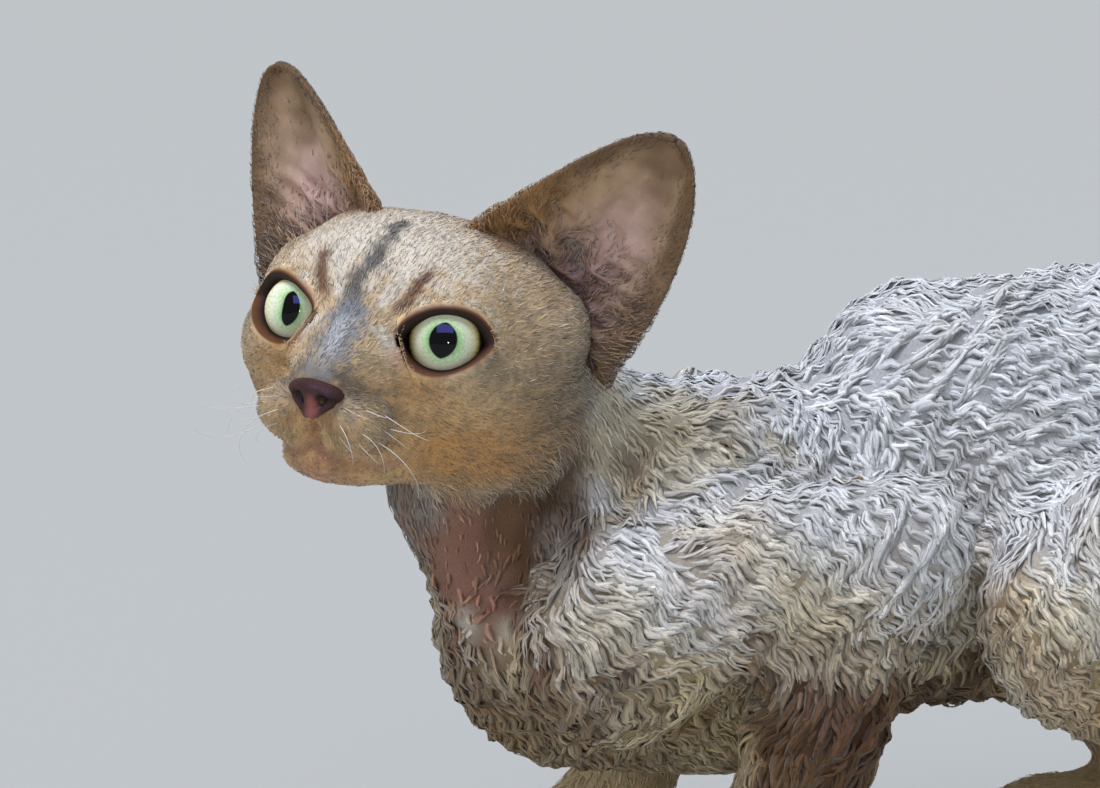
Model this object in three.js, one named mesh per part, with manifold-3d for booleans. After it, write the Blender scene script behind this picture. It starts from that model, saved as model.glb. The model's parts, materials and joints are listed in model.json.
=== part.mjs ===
// A curly-coated cat with big ears, life size, crouched and looking up over its left shoulder.
// Millimetres. +Z is up, the chest faces -Y, and +X is the cat's left. The forms are placed from
// a point on the floor below the shoulders, and the group then moves the whole so that its
// origin is on the floor below its middle.
//
// The flesh is one distance field: ellipsoids and tapered cones, each a muscle or a bone's
// length, melted together. Its surface is drawn as one closed mesh, dressed with low curls of
// coat, and then parted by thin cuts into the pieces a person would name.
import * as THREE from "three";
import { MeshSurfaceSampler } from "three/addons/math/MeshSurfaceSampler.js";
import { mergeVertices } from "three/addons/utils/BufferGeometryUtils.js";
import Module from "manifold-3d";

const wasm = await Module();
wasm.setup();

// Driving dimensions
const GAP = 0.35; // between touching pieces
const HEAD = { place: [15.7, -43, 167.3], turn: 50, lift: 6.7, tilt: 8.2 }; // degrees
const EYE = { centre: [20.3, -23.6, 4.6], radius: 11, lid: 1.5, width: 19.4, height: 15.4 };
const EAR = {
  inner: [15, -3.5, 33], outer: [49.5, 8.5, 4], thick: 2, cup: 15, spread: 1.14, lean: 5.7,
  left: { tip: [56.5, 4, 68], turn: 3 }, // each ear swivels on its own
  right: { tip: [54.5, 12, 67], turn: 10 },
};
const NOSE = { tip: [0, -55.6, -12] };
const ELBOW = [62, 80, 114];
const WRIST = [51, 38, 30];
const FORE_TOES = [51, 4, 8.2];
const HIP = [34, 204, 124];
const KNEE = [60, 122, 90];
const HOCK = [52, 221, 21];
const HIND_TOES = [53, 148, 8.2];
// The coat's clumps: half sizes, and how far the flesh and each clump's middle are sunk
const COAT = { long: 20, wide: 14, high: 6.4, sunk: 2, buried: 2.2, apart: 28, tries: 6000, seed: 11 };
const CELL = { paw: [6.2, 8, 5.4], nose: [2.8, 3.1, 2.7] }; // mesh steps

// Small vector helpers on plain triples
const sub = (a, b) => [a[0] - b[0], a[1] - b[1], a[2] - b[2]];
const add = (a, b, k = 1) => [a[0] + b[0] * k, a[1] + b[1] * k, a[2] + b[2] * k];
const dot = (a, b) => a[0] * b[0] + a[1] * b[1] + a[2] * b[2];
const size = (a) => Math.hypot(a[0], a[1], a[2]);
const unit = (a) => add([0, 0, 0], a, 1 / size(a));
const cross = (a, b) => [
  a[1] * b[2] - a[2] * b[1],
  a[2] * b[0] - a[0] * b[2],
  a[0] * b[1] - a[1] * b[0],
];
const lerp = (a, b, t) => add(a, sub(b, a), t);
const mirrored = (a) => [-a[0], a[1], a[2]];
const clamp = (x, low, high) => Math.min(high, Math.max(low, x));

// Distance fields: each takes a point and gives its distance from a form, negative inside
const ellipsoid = (centre, radii) => (p) => {
  const q = sub(p, centre);
  const near = Math.hypot(q[0] / radii[0], q[1] / radii[1], q[2] / radii[2]);
  const slope = Math.hypot(q[0] / radii[0] ** 2, q[1] / radii[1] ** 2, q[2] / radii[2] ** 2);
  return slope < 1e-9 ? -Math.min(...radii) : (near * (near - 1)) / slope;
};
const cone = (a, ra, b, rb) => (p) => {
  const along = sub(b, a);
  const t = clamp(dot(sub(p, a), along) / dot(along, along), 0, 1);
  return size(sub(p, lerp(a, b, t))) - (ra + (rb - ra) * t);
};
// An ellipsoid whose long axis runs from a to b, with its own half width and half depth
const muscle = (a, b, wide, deep) => {
  const long = unit(sub(b, a));
  const side = unit(add([1, 0, 0], long, -long[0]));
  const rise = cross(long, side);
  const inner = ellipsoid([0, 0, 0], [wide, size(sub(b, a)) / 2, deep]);
  const middle = lerp(a, b, 0.5);
  return (p) => {
    const q = sub(p, middle);
    return inner([dot(q, side), dot(q, long), dot(q, rise)]);
  };
};
// Joins two distances, rounding the fold between their forms over about `soft` millimetres
const blend = (soft, d, e) => {
  const h = Math.max(soft - Math.abs(d - e), 0) / soft;
  return Math.min(d, e) - (h * h * soft) / 4;
};
const melt = (soft, ...fields) => (p) =>
  fields.reduce((d, field, i) => (i ? blend(soft, d, field(p)) : field(p)), 0);
const bothSides = (make) => [make((v) => v), make(mirrored)];

// Head frame: x to its left, y back, z up, and the eyes level
const headMatrix = new THREE.Matrix4()
  .makeTranslation(...HEAD.place)
  .multiply(new THREE.Matrix4().makeRotationZ(THREE.MathUtils.degToRad(HEAD.turn)))
  .multiply(new THREE.Matrix4().makeRotationX(THREE.MathUtils.degToRad(-HEAD.lift)))
  .multiply(new THREE.Matrix4().makeRotationY(THREE.MathUtils.degToRad(HEAD.tilt)));
const headInverse = headMatrix.clone().invert();
const carry = (matrix, p) => new THREE.Vector3(...p).applyMatrix4(matrix).toArray();
const inHead = (field) => (p) => field(carry(headInverse, p));

function headField() {
  const paired = bothSides((s) => [
    ellipsoid(s([24, -10, -4]), [18, 24, 17]), // cheekbone
    ellipsoid(s([27, 6, -12]), [17, 20, 19]), // jowl
    ellipsoid(s([17, -19, 14]), [12, 12, 9]), // brow
    cone(s([20, 2, -20]), 13, s([7, -34, -27]), 9), // jaw
    cone(s([20, 3, 17]), 13, s([33, 6, 10]), 13.5), // root of the ear
  ]).flat();
  const pads = bothSides((s) => ellipsoid(s([8.5, -45, -18]), [10, 10, 8.5]));
  const skull = melt(
    12,
    ellipsoid([0, 4, 11], [32, 36, 24.5]),
    ellipsoid([0, -12, 13], [25, 20, 17]),
    ellipsoid([0, -28, -10], [19, 20, 18]),
    cone([0, -26, 4], 9, [0, -49, -9], 7.5), // bridge of the nose
    ...paired,
  );
  const chin = ellipsoid([0, -42, -29], [9, 9, 7]);
  return inHead(melt(4, skull, ...pads, chin));
}

function trunkField() {
  return melt(
    16,
    ellipsoid([0, 52, 98], [44, 75, 50]), // ribs
    cone([0, 5, 81], 34, [0, 60, 82], 37), // breast
    cone([0, 34, 126], 22, [0, 62, 130], 23), // withers
    cone([0, 106, 149], 30, [0, 160, 148], 31), // arched loin
    ellipsoid([0, 130, 112], [45, 74, 55]), // belly
    cone([0, 165, 146], 31, [0, 222, 126], 28), // croup
    ellipsoid([0, 200, 112], [40, 52, 46]), // haunches
    cone([0, 232, 126], 15, [2, 252, 110], 11), // root of the tail
  );
}

function neckField() {
  return melt(
    12,
    cone([12, -24, 152], 25, [0, 26, 120], 32),
    cone([9, -28, 128], 20, [0, -2, 98], 31), // throat
  );
}

function foreLimb(s) {
  return melt(
    14,
    muscle(s([24, 62, 146]), s([44, -4, 80]), 15, 26), // shoulder blade
    muscle(s([42, -14, 86]), s([65, 97, 122]), 19, 26), // upper arm
    ellipsoid(s([42, 6, 88]), [18, 26, 28]), // point of the shoulder
    cone(s(ELBOW), 17, s([56, 56, 62]), 17), // forearm
    cone(s([56, 58, 66]), 15, s(WRIST), 11),
    cone(s(WRIST), 11, s([51, 14, 14]), 10.5), // carpus
  );
}

function hindLimb(s) {
  return melt(
    10,
    muscle(s([36, 241, 130]), s([60, 102, 84]), 23, 37), // thigh
    cone(s(HIP), 28, s(KNEE), 19),
    cone(s([59, 130, 78]), 18, s([53, 200, 34]), 10.5), // shank
    cone(s([53, 196, 36]), 10, s(HOCK), 9.5),
    cone(s(HOCK), 10, s([53, 166, 11.5]), 10), // metatarsus
  );
}

// A paw's palm and its four toes, the middle two furthest forward
function pawField(s, toes, back) {
  const forms = [ellipsoid(s(add(toes, [0, 4, 0])), [14, 15, 9.5])];
  for (const x of [-10.5, -3.7, 3.7, 10.5]) {
    const ahead = Math.abs(x) < 6 ? -12 : -7;
    forms.push(ellipsoid(s(add(toes, [x, ahead, -1.5])), [5, 10, 7.6]));
  }
  forms.push(cone(s(add(toes, back)), 10.5, s(toes), 9));
  return melt(3, ...forms);
}

const fields = {
  head: headField(),
  trunk: melt(14, trunkField(), neckField()),
  fore: bothSides((s) => melt(8, foreLimb(s), pawField(s, FORE_TOES, [0, 12, 5]))),
  hind: bothSides((s) => melt(8, hindLimb(s), pawField(s, HIND_TOES, [0, 20, 2]))),
};

// The whole flesh. A fore limb and a hind limb each melt into the trunk, but not together.
function fullFlesh(p) {
  const trunk = fields.trunk(p);
  const side = p[0] > 0 ? 0 : 1;
  return Math.min(
    blend(16, trunk, fields.fore[side](p)),
    blend(16, trunk, fields.hind[side](p)),
    blend(11, trunk, fields.head(p)),
  );
}

// How much of the long curled coat grows at a point: none on the head, feet and shanks
function coatAt(p) {
  const { smoothstep } = THREE.MathUtils;
  return smoothstep(size(sub(p, HEAD.place)), 56, 78) * smoothstep(p[2], 44, 66);
}
const flesh = (p) => fullFlesh(p) + COAT.sunk * coatAt(p);

// Grid lines from low to high, their step given for each place along the way
function ruler(low, high, stepAt) {
  const lines = [low - stepAt(low)];
  while (lines.at(-1) < high) lines.push(lines.at(-1) + stepAt(lines.at(-1)));
  return [...lines, lines.at(-1) + stepAt(high)];
}
const evenly = (low, high, steps) => steps.map((step, i) => ruler(low[i], high[i], () => step));

// A closed mesh of a field's surface by surface nets: one vertex for each sheet of the surface
// in a cell of the grid, drawn to the surface, and one quad for each grid edge that it crosses.
function drawField(field, rulers) {
  const count = rulers.map((lines) => lines.length);
  const at = (i, j, k) => (k * count[1] + j) * count[0] + i;
  const place = (i, j, k) => [rulers[0][i], rulers[1][j], rulers[2][k]];
  const value = new Float64Array(count[0] * count[1] * count[2]);
  for (let k = 0; k < count[2]; k++)
    for (let j = 0; j < count[1]; j++)
      for (let i = 0; i < count[0]; i++) {
        const rim = [i, j, k].some((n, axis) => n === 0 || n === count[axis] - 1);
        value[at(i, j, k)] = rim ? 5 : field(place(i, j, k)); // closed at the box's sides
      }
  const corners = [0, 1, 2, 3, 4, 5, 6, 7].map((n) => [n & 1, (n >> 1) & 1, (n >> 2) & 1]);
  const edges = corners.flatMap((_, a) => [1, 2, 4].filter((bit) => !(a & bit)).map((bit) => [a, a | bit]));
  const vertexOf = new Map();
  const points = [];
  for (let k = 0; k < count[2] - 1; k++)
    for (let j = 0; j < count[1] - 1; j++)
      for (let i = 0; i < count[0] - 1; i++) {
        const v = corners.map((c) => value[at(i + c[0], j + c[1], k + c[2])]);
        const inside = v.map((x) => x < 0);
        if (inside.every((x) => x === inside[0])) continue;
        const [low, high] = [place(i, j, k), place(i + 1, j + 1, k + 1)];
        const sheetOf = joinedCorners(inside, edges);
        for (const sheetName of new Set(sheetOf.filter((n) => n >= 0))) {
          let sum = [0, 0, 0];
          let crossed = 0;
          for (const [a, b] of edges) {
            if (inside[a] === inside[b] || sheetOf[inside[a] ? a : b] !== sheetName) continue;
            sum = add(sum, lerp(corners[a], corners[b], v[a] / (v[a] - v[b])));
            crossed++;
          }
          const middle = low.map((x, axis) => x + ((high[axis] - x) * sum[axis]) / crossed);
          const reach = Math.min(...sub(high, low)) / 3;
          sheetOf.forEach((n, c) => n === sheetName && vertexOf.set(at(i, j, k) * 8 + c, points.length));
          points.push(drawnTo(field, middle, reach));
        }
      }
  const index = [];
  for (let k = 0; k < count[2] - 1; k++)
    for (let j = 0; j < count[1] - 1; j++)
      for (let i = 0; i < count[0] - 1; i++)
        for (const axis of [0, 1, 2]) {
          const end = [i, j, k];
          end[axis] += 1;
          const here = value[at(i, j, k)];
          if (here < 0 === value[at(...end)] < 0) continue;
          const [u, w] = [(axis + 1) % 3, (axis + 2) % 3];
          const ring = [[0, 0], [1, 0], [1, 1], [0, 1]].map(([m, n]) => {
            const cell = [i, j, k];
            cell[u] -= m;
            cell[w] -= n;
            const corner = (m << u) | (n << w) | (here < 0 ? 0 : 1 << axis);
            return vertexOf.get(at(...cell) * 8 + corner);
          });
          if (here >= 0) ring.reverse();
          index.push(...halved(points, ring));
        }
  const geometry = new THREE.BufferGeometry();
  geometry.setAttribute("position", new THREE.Float32BufferAttribute(points.flat(), 3));
  geometry.setIndex(index);
  return geometry;
}

// Names each inside corner of a cell by the lowest inside corner that edges join it to
function joinedCorners(inside, edges) {
  const name = inside.map((x, n) => (x ? n : -1));
  for (let pass = 0; pass < 7; pass++)
    for (const [a, b] of edges)
      if (inside[a] && inside[b]) name[a] = name[b] = Math.min(name[a], name[b]);
  return name;
}

// A quad as two triangles, split along its shorter diagonal
function halved(points, [a, b, c, d]) {
  const short = size(sub(points[a], points[c])) <= size(sub(points[b], points[d]));
  return short ? [a, b, c, a, c, d] : [a, b, d, b, c, d];
}

function slopeOf(field, p, step = 0.2) {
  return [0, 1, 2].map((i) => {
    const e = [0, 0, 0];
    e[i] = step;
    return (field(add(p, e)) - field(add(p, e, -1))) / (2 * step);
  });
}

// Moves a point onto the surface in two steps, each no longer than `reach`
function drawnTo(field, p, reach) {
  let q = p;
  for (let n = 0; n < 2; n++) {
    const slope = slopeOf(field, q);
    const step = clamp(field(q) / Math.max(dot(slope, slope), 0.2), -reach, reach);
    q = add(q, slope, -step);
  }
  return q;
}

// Solids, as manifold-3d joins and cuts them
function solidOf(geometry) {
  const bare = geometry.clone();
  for (const name of Object.keys(bare.attributes)) if (name !== "position") bare.deleteAttribute(name);
  const merged = mergeVertices(bare, 1e-4);
  return new wasm.Manifold(
    new wasm.Mesh({
      numProp: 3,
      vertProperties: merged.attributes.position.array,
      triVerts: new Uint32Array(merged.index.array),
    }),
  );
}

function geometryOf(solid) {
  const mesh = solid.getMesh();
  const positions = new Float32Array(mesh.numVert * 3);
  for (let i = 0; i < mesh.numVert; i++)
    positions.set(mesh.vertProperties.subarray(i * mesh.numProp, i * mesh.numProp + 3), i * 3);
  const geometry = new THREE.BufferGeometry();
  geometry.setAttribute("position", new THREE.BufferAttribute(positions, 3));
  geometry.setIndex(new THREE.BufferAttribute(mesh.triVerts, 1));
  geometry.computeVertexNormals();
  return geometry;
}

// The same closed surface, grown by a distance along its normals
function grown(geometry, distance) {
  const out = geometry.clone();
  out.computeVertexNormals();
  const position = out.attributes.position;
  const normal = out.attributes.normal;
  for (let i = 0; i < position.count; i++)
    position.setXYZ(
      i,
      position.getX(i) + normal.getX(i) * distance,
      position.getY(i) + normal.getY(i) * distance,
      position.getZ(i) + normal.getZ(i) * distance,
    );
  return out;
}

const largest = (solid) =>
  solid.decompose().reduce((best, s) => (s.volume() > best.volume() ? s : best));

// What is left of a piece once it stands clear of its neighbours
const clearOf = (piece, ...neighbours) =>
  largest(neighbours.reduce((rest, n) => rest.subtract(solidOf(grown(geometryOf(largest(n)), GAP))), piece));

// Half of space beyond a plane, as a big block
function beyond(point, direction, reach = 400) {
  const block = new THREE.BoxGeometry(reach, reach, reach);
  block.translate(0, 0, reach / 2);
  const turn = new THREE.Quaternion().setFromUnitVectors(
    new THREE.Vector3(0, 0, 1),
    new THREE.Vector3(...unit(direction)),
  );
  block.applyQuaternion(turn);
  block.translate(...point);
  return solidOf(block);
}

// Parts a solid along a plane: [the side that direction points to, the rest]
function parted(solid, point, direction) {
  return [
    solid.intersect(beyond(point, direction)),
    solid.subtract(beyond(add(point, unit(direction), -GAP), direction)),
  ];
}

// Parts a solid along a closed form that holds the piece: [the piece, the rest]
function lifted(solid, form) {
  return [solid.intersect(solidOf(form)), solid.subtract(solidOf(grown(form, GAP)))];
}

const floorCut = (solid) => solid.intersect(beyond([0, 0, 0], [0, 0, 1], 800));

// Eyes and lids: a ball in a socket, under a thin cap with an almond-shaped opening
const gaze = unit([0.3, -0.95, 0.06]);

function eyeBall(radius) {
  const ball = new THREE.SphereGeometry(radius, 14, 10);
  ball.rotateX(Math.PI / 2);
  return ball;
}

function almondOpening() {
  const w = EYE.width / 2;
  const h = EYE.height / 2;
  const shape = new THREE.Shape();
  shape.moveTo(-w, -1.8);
  shape.bezierCurveTo(-w + 2.5, h * 0.75, -w * 0.5, h, 0.6, h);
  shape.bezierCurveTo(w * 0.6, h, w - 0.8, h * 0.55, w, 0.8);
  shape.bezierCurveTo(w - 1, -h * 0.7, w * 0.5, -h, -0.4, -h);
  shape.bezierCurveTo(-w * 0.6, -h, -w + 1.6, -h * 0.55, -w, -1.8);
  return new THREE.ExtrudeGeometry(shape, { depth: 30, bevelEnabled: false, curveSegments: 4 });
}

// Carries a form made about the origin, looking along +Z with +X outwards, to an eye
function toEye(geometry, side) {
  const ahead = side > 0 ? gaze : mirrored(gaze);
  const across = unit(cross([0, 0, 1], ahead));
  const rise = cross(ahead, across);
  const basis = new THREE.Matrix4().makeBasis(
    new THREE.Vector3(...across),
    new THREE.Vector3(...rise),
    new THREE.Vector3(...ahead),
  );
  const centre = side > 0 ? EYE.centre : mirrored(EYE.centre);
  const placed = geometry.clone();
  if (side < 0) flipped(placed);
  placed.applyMatrix4(basis);
  placed.translate(...centre);
  placed.applyMatrix4(headMatrix);
  return placed;
}

// Mirrors a geometry in X and turns its faces back out
function flipped(geometry) {
  geometry.scale(-1, 1, 1);
  if (!geometry.index) {
    const position = geometry.attributes.position;
    for (let i = 0; i < position.count; i += 3) {
      const first = [position.getX(i), position.getY(i), position.getZ(i)];
      position.setXYZ(i, position.getX(i + 1), position.getY(i + 1), position.getZ(i + 1));
      position.setXYZ(i + 1, ...first);
    }
    return geometry;
  }
  const index = geometry.index.array;
  for (let i = 0; i < index.length; i += 3) [index[i], index[i + 1]] = [index[i + 1], index[i]];
  return geometry;
}

// A closed sheet from a function of (u, v), each 0 to 1, that gives [middle, outward normal]
function sheet(across, along, thickness, middle) {
  const points = [];
  const rows = along + 1;
  const columns = across + 1;
  for (const face of [1, -1])
    for (let j = 0; j < rows; j++)
      for (let i = 0; i < columns; i++) {
        const [p, normal] = middle(i / across, j / along);
        const edge = i === 0 || i === across || j === along ? 0.35 : 1;
        points.push(...add(p, normal, (face * edge * thickness) / 2));
      }
  const index = [];
  const at = (i, j, face) => face * rows * columns + j * columns + i;
  const quad = (a, b, c, d) => index.push(a, b, c, a, c, d);
  for (let j = 0; j < along; j++)
    for (let i = 0; i < across; i++) {
      quad(at(i, j, 0), at(i + 1, j, 0), at(i + 1, j + 1, 0), at(i, j + 1, 0));
      quad(at(i, j, 1), at(i, j + 1, 1), at(i + 1, j + 1, 1), at(i + 1, j, 1));
    }
  for (let i = 0; i < across; i++) {
    quad(at(i, 0, 1), at(i + 1, 0, 1), at(i + 1, 0, 0), at(i, 0, 0));
    quad(at(i, along, 0), at(i + 1, along, 0), at(i + 1, along, 1), at(i, along, 1));
  }
  for (let j = 0; j < along; j++) {
    quad(at(0, j, 0), at(0, j + 1, 0), at(0, j + 1, 1), at(0, j, 1));
    quad(at(across, j, 1), at(across, j + 1, 1), at(across, j + 1, 0), at(across, j, 0));
  }
  const geometry = new THREE.BufferGeometry();
  geometry.setAttribute("position", new THREE.Float32BufferAttribute(points, 3));
  geometry.setIndex(index);
  return geometry;
}

// A pinna: a tall cup, open to the front, wide at the root and round at the tip.
// u runs from the inner edge to the outer edge, t from below the root to the tip.
function earMiddle({ tip, turn }, u, t) {
  const root = lerp(EAR.inner, EAR.outer, 0.5);
  const rise = unit(sub(tip, root));
  const wide = sub(EAR.outer, EAR.inner);
  const flat = unit(add(wide, rise, -dot(wide, rise)));
  const angle = THREE.MathUtils.degToRad(turn);
  const across = add(lerp([0, 0, 0], flat, Math.cos(angle)), cross(flat, rise), -Math.sin(angle));
  const open = cross(across, rise);
  const a = 2 * u - 1;
  const v = -0.2 + 1.2 * Math.sin((t * Math.PI) / 2);
  const taper = (1 - 0.12 * v) * Math.sqrt(1 - Math.max(v, 0) ** 1.5);
  const half = (size(wide) / 2) * EAR.spread * taper + 0.5;
  const lean = EAR.lean * (1 - (1 - Math.max(v, 0)) ** 2.2);
  const depth = EAR.cup * (1 - 0.7 * v) * (1 - a * a);
  let p = add(root, rise, v * size(sub(tip, root)));
  p = add(p, across, a * half + lean);
  return add(p, open, 3 * v * v - depth);
}

function earSheet(pose) {
  return sheet(8, 8, EAR.thick, (u, v) => {
    const e = 0.02;
    const at = (a, b) => earMiddle(pose, clamp(a, 0, 1), clamp(b, 0, 1));
    const du = sub(at(u + e, v), at(u - e, v));
    const dv = sub(at(u, v + e), at(u, v - e));
    return [at(u, v), unit(cross(du, dv))];
  });
}

// Nose leather: two wings, a tip and a wedge down to the lip, with its nostrils
function noseField() {
  const t = NOSE.tip;
  const wings = bothSides((s) => ellipsoid(s(add(t, [4.4, 1.4, -0.6])), [3.2, 4.6, 3.6]));
  return melt(
    2.5,
    ellipsoid(add(t, [0, 0.6, 0.6]), [4.6, 4.6, 3.8]),
    ellipsoid(add(t, [0, 1.4, -5]), [2.4, 3.6, 4]),
    ...wings,
  );
}

// A closed tube with a few sides along a curve, with its radius a function of 0 to 1
function tube(curve, rings, sides, radiusAt) {
  const frames = curve.computeFrenetFrames(rings, false);
  const points = [];
  for (let j = 0; j <= rings; j++) {
    const centre = curve.getPointAt(j / rings).toArray();
    for (let i = 0; i < sides; i++) {
      const turn = (2 * Math.PI * i) / sides;
      const out = add(
        add([0, 0, 0], frames.normals[j].toArray(), Math.cos(turn)),
        frames.binormals[j].toArray(),
        Math.sin(turn),
      );
      points.push(...add(centre, out, radiusAt(j / rings)));
    }
  }
  const index = [];
  for (let j = 0; j < rings; j++)
    for (let i = 0; i < sides; i++) {
      const next = (i + 1) % sides;
      const [a, b] = [j * sides + i, j * sides + next];
      index.push(a, b, b + sides, a, b + sides, a + sides);
    }
  const first = points.length / 3;
  points.push(...curve.getPointAt(0).toArray(), ...curve.getPointAt(1).toArray());
  for (let i = 0; i < sides; i++) {
    const next = (i + 1) % sides;
    index.push(first, next, i, first + 1, rings * sides + i, rings * sides + next);
  }
  const geometry = new THREE.BufferGeometry();
  geometry.setAttribute("position", new THREE.Float32BufferAttribute(points, 3));
  geometry.setIndex(index);
  return geometry;
}

const curveThrough = (points) =>
  new THREE.CatmullRomCurve3(points.map((p) => new THREE.Vector3(...p)), false, "centripetal");

// The line of the mouth, cut a little into the lips, and the cleft under the nose
function mouthLine(side) {
  const path = [[0, -54, -23], [6, -53, -27], [13, -45, -28.5], [20, -35, -26], [25, -26, -22]];
  const onLips = path.map((p) => {
    const start = carry(headMatrix, side > 0 ? p : mirrored(p));
    return drawnTo(flesh, start, 7);
  });
  return tube(curveThrough(onLips), 10, 4, (t) => 0.4 + 0.9 * Math.sin(Math.PI * (0.12 + 0.8 * t)));
}

function headPieces(fleshOfHead) {
  let head = fleshOfHead;
  const nose = drawField(noseField(), evenly([-9, -64, -24], [9, -46, -4], CELL.nose));
  nose.applyMatrix4(headMatrix);
  for (const side of [1, -1]) {
    head = head.add(solidOf(toEye(eyeBall(EYE.radius + EYE.lid), side)));
  }
  for (const side of [1, -1]) {
    head = head.subtract(solidOf(toEye(almondOpening(), side)));
    head = head.subtract(solidOf(toEye(eyeBall(EYE.radius + GAP), side)));
    head = head.subtract(solidOf(mouthLine(side)));
  }
  head = head.subtract(solidOf(grown(nose, GAP)));
  let noseSolid = solidOf(nose);
  for (const side of [1, -1]) {
    const nostril = new THREE.SphereGeometry(1, 8, 6);
    nostril.scale(1.9, 2.6, 1.15);
    nostril.rotateZ(side * 0.5);
    nostril.translate(side * 4.7, NOSE.tip[1] - 2.2, NOSE.tip[2] - 1.2);
    nostril.applyMatrix4(headMatrix);
    noseSolid = noseSolid.subtract(solidOf(nostril));
  }
  return { head, nose: noseSolid };
}

// Random numbers from 0 to 1, the same in every run
function randomFrom(seed) {
  let state = seed;
  return () => {
    state = (state * 1664525 + 1013904223) % 4294967296;
    return state / 4294967296;
  };
}

// The way the coat lies: back and down on the trunk, down the thighs, back along the upper arms
function lieAt([x, y, z]) {
  if (Math.abs(x) < 34) return [0, 0.8, -0.5];
  return y > 106 ? [0, 0.35, -0.9] : [0, 0.9, z > 96 ? 0.05 : -0.5];
}

// One clump of curled coat: low and rounded, it lies along the fur, bends to one side, narrows
// to its free end and follows the flesh beneath, with its underside sunk well in
function clump(place, random) {
  const out = unit(slopeOf(flesh, place));
  const lie = lieAt(place);
  const along = unit(add(lie, out, -dot(lie, out)));
  const aside = cross(along, out);
  const scale = 0.85 + 0.3 * random();
  const bend = 0.9 * (random() - 0.5);
  const form = new THREE.SphereGeometry(1, 5, 4);
  const position = form.attributes.position;
  for (let i = 0; i < position.count; i++) {
    const [x, y, z] = [position.getX(i), position.getY(i), position.getZ(i)];
    const sideways = (x * (1 - 0.3 * y) + bend * (y * y - 0.3)) * COAT.wide * scale;
    const above = add(add(place, along, y * COAT.long * scale), aside, sideways);
    const foot = drawnTo(flesh, above, 8);
    const up = unit(slopeOf(flesh, foot));
    position.setXYZ(i, ...add(foot, up, z * COAT.high - COAT.buried));
  }
  return solidOf(form);
}

// The flesh with its coat: clumps spread evenly at random wherever the long coat grows
function coated(geometry) {
  const random = randomFrom(COAT.seed);
  const sampler = new MeshSurfaceSampler(new THREE.Mesh(geometry)).setRandomGenerator(random).build();
  const spot = new THREE.Vector3();
  const places = [];
  for (let n = 0; n < COAT.tries; n++) {
    sampler.sample(spot);
    const place = spot.toArray();
    const free = places.every((other) => size(sub(other, place)) > COAT.apart);
    const under = unit(slopeOf(flesh, place))[2] < -0.5; // the coat is thin down there
    if (free && !under && coatAt(place) > 0.5) places.push(place);
  }
  return places.reduce((solid, place) => solid.add(clump(place, random)), solidOf(geometry));
}

// The tail: down from the croup and round the left haunch along the floor
const TAIL_PATH = [
  [0, 236, 126], [3, 260, 107], [11, 284, 74], [28, 298, 38], [50, 298, 15],
  [76, 279, 7.8], [95, 246, 6.8], [104, 208, 6], [103, 172, 5],
];
const TAIL_CUTS = [0.44, 0.72]; // where its three lengths part, as fractions of the path
const tailRadius = (t) => (11 - 5.4 * t) * Math.sqrt(Math.min(1, (1.004 - t) * 14));

// A closed prism over an outline of [y, z] points seen from the side, from x = near outwards,
// its walls and its near face moved out by `extra`
function sidePrism(outline, near, side, extra = 0) {
  const loop = new THREE.CatmullRomCurve3(
    outline.map(([y, z]) => new THREE.Vector3(y, z, 0)),
    true,
    "centripetal",
  ).getSpacedPoints(16).slice(0, -1);
  const moved = loop.map((p, i) => {
    const along = loop[(i + 1) % loop.length].clone().sub(loop.at(i - 1)).normalize();
    return new THREE.Vector2(p.x - along.y * extra, p.y + along.x * extra);
  });
  const depth = 110 - near + extra;
  const prism = new THREE.ExtrudeGeometry(new THREE.Shape(moved), { depth, bevelEnabled: false });
  const [y, z, x] = [[0, 1, 0], [0, 0, 1], [1, 0, 0]].map((v) => new THREE.Vector3(...v));
  prism.applyMatrix4(new THREE.Matrix4().makeBasis(y, z, x));
  prism.translate(near - extra, 0, 0);
  return side < 0 ? flipped(prism) : prism;
}

// Clockwise outlines of the limbs, as seen from the cat's left
const FORE_OUTLINE = [
  [8, 132], [28, 148], [56, 160], [76, 152], [85, 141], [104, 139], [113, 128], [107, 114], [96, 95],
  [87, 66], [78, 34], [70, -9], [20, -10], [-24, -9], [-24, 40], [-34, 72], [-34, 100], [-16, 118],
];
const HIND_OUTLINE = [
  [86, 100], [106, 124], [140, 140], [186, 158], [226, 162], [258, 150], [264, 110],
  [256, 60], [252, -9], [190, -10], [112, -9], [110, 30], [100, 58], [88, 78],
];

// Pieces
const neckCut = { point: [7, -19, 148], direction: [0.3, -0.8, 0.62] };
const creaseCut = { point: [50, 40, 77], direction: [0, 0.56, -0.83] }; // under the upper arm
const kneeCut = { point: [55, 140, 69], direction: [0, -0.08, -1] };
const wristCut = { point: [51, 34, 27], direction: [0, -0.62, -0.78] };
const heelCut = { point: [52, 200, 22], direction: [0, -0.5, -0.87] };
const pieces = new Map();

// The head is drawn in its own frame, on lines that lie closer together over the face
const headRulers = [
  ruler(-52, 52, (x) => (Math.abs(x) < 18 ? 4.2 : 6.6)),
  ruler(-66, 48, (y) => (y < -34 ? 3.7 : y < -16 ? 5 : 9)),
  ruler(-62, 42, (z) => (z < -36 ? 9 : z < -4 ? 4 : z < 16 ? 5.4 : 8)),
];
const fineHead = drawField((p) => flesh(carry(headMatrix, p)), headRulers);
fineHead.applyMatrix4(headMatrix);
const rawHead = largest(parted(solidOf(fineHead), neckCut.point, neckCut.direction)[0]);
const { head: cutHead, nose } = headPieces(rawHead);
const head = largest(cutHead);
pieces.set("head", head);
pieces.set("nose", nose);

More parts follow.
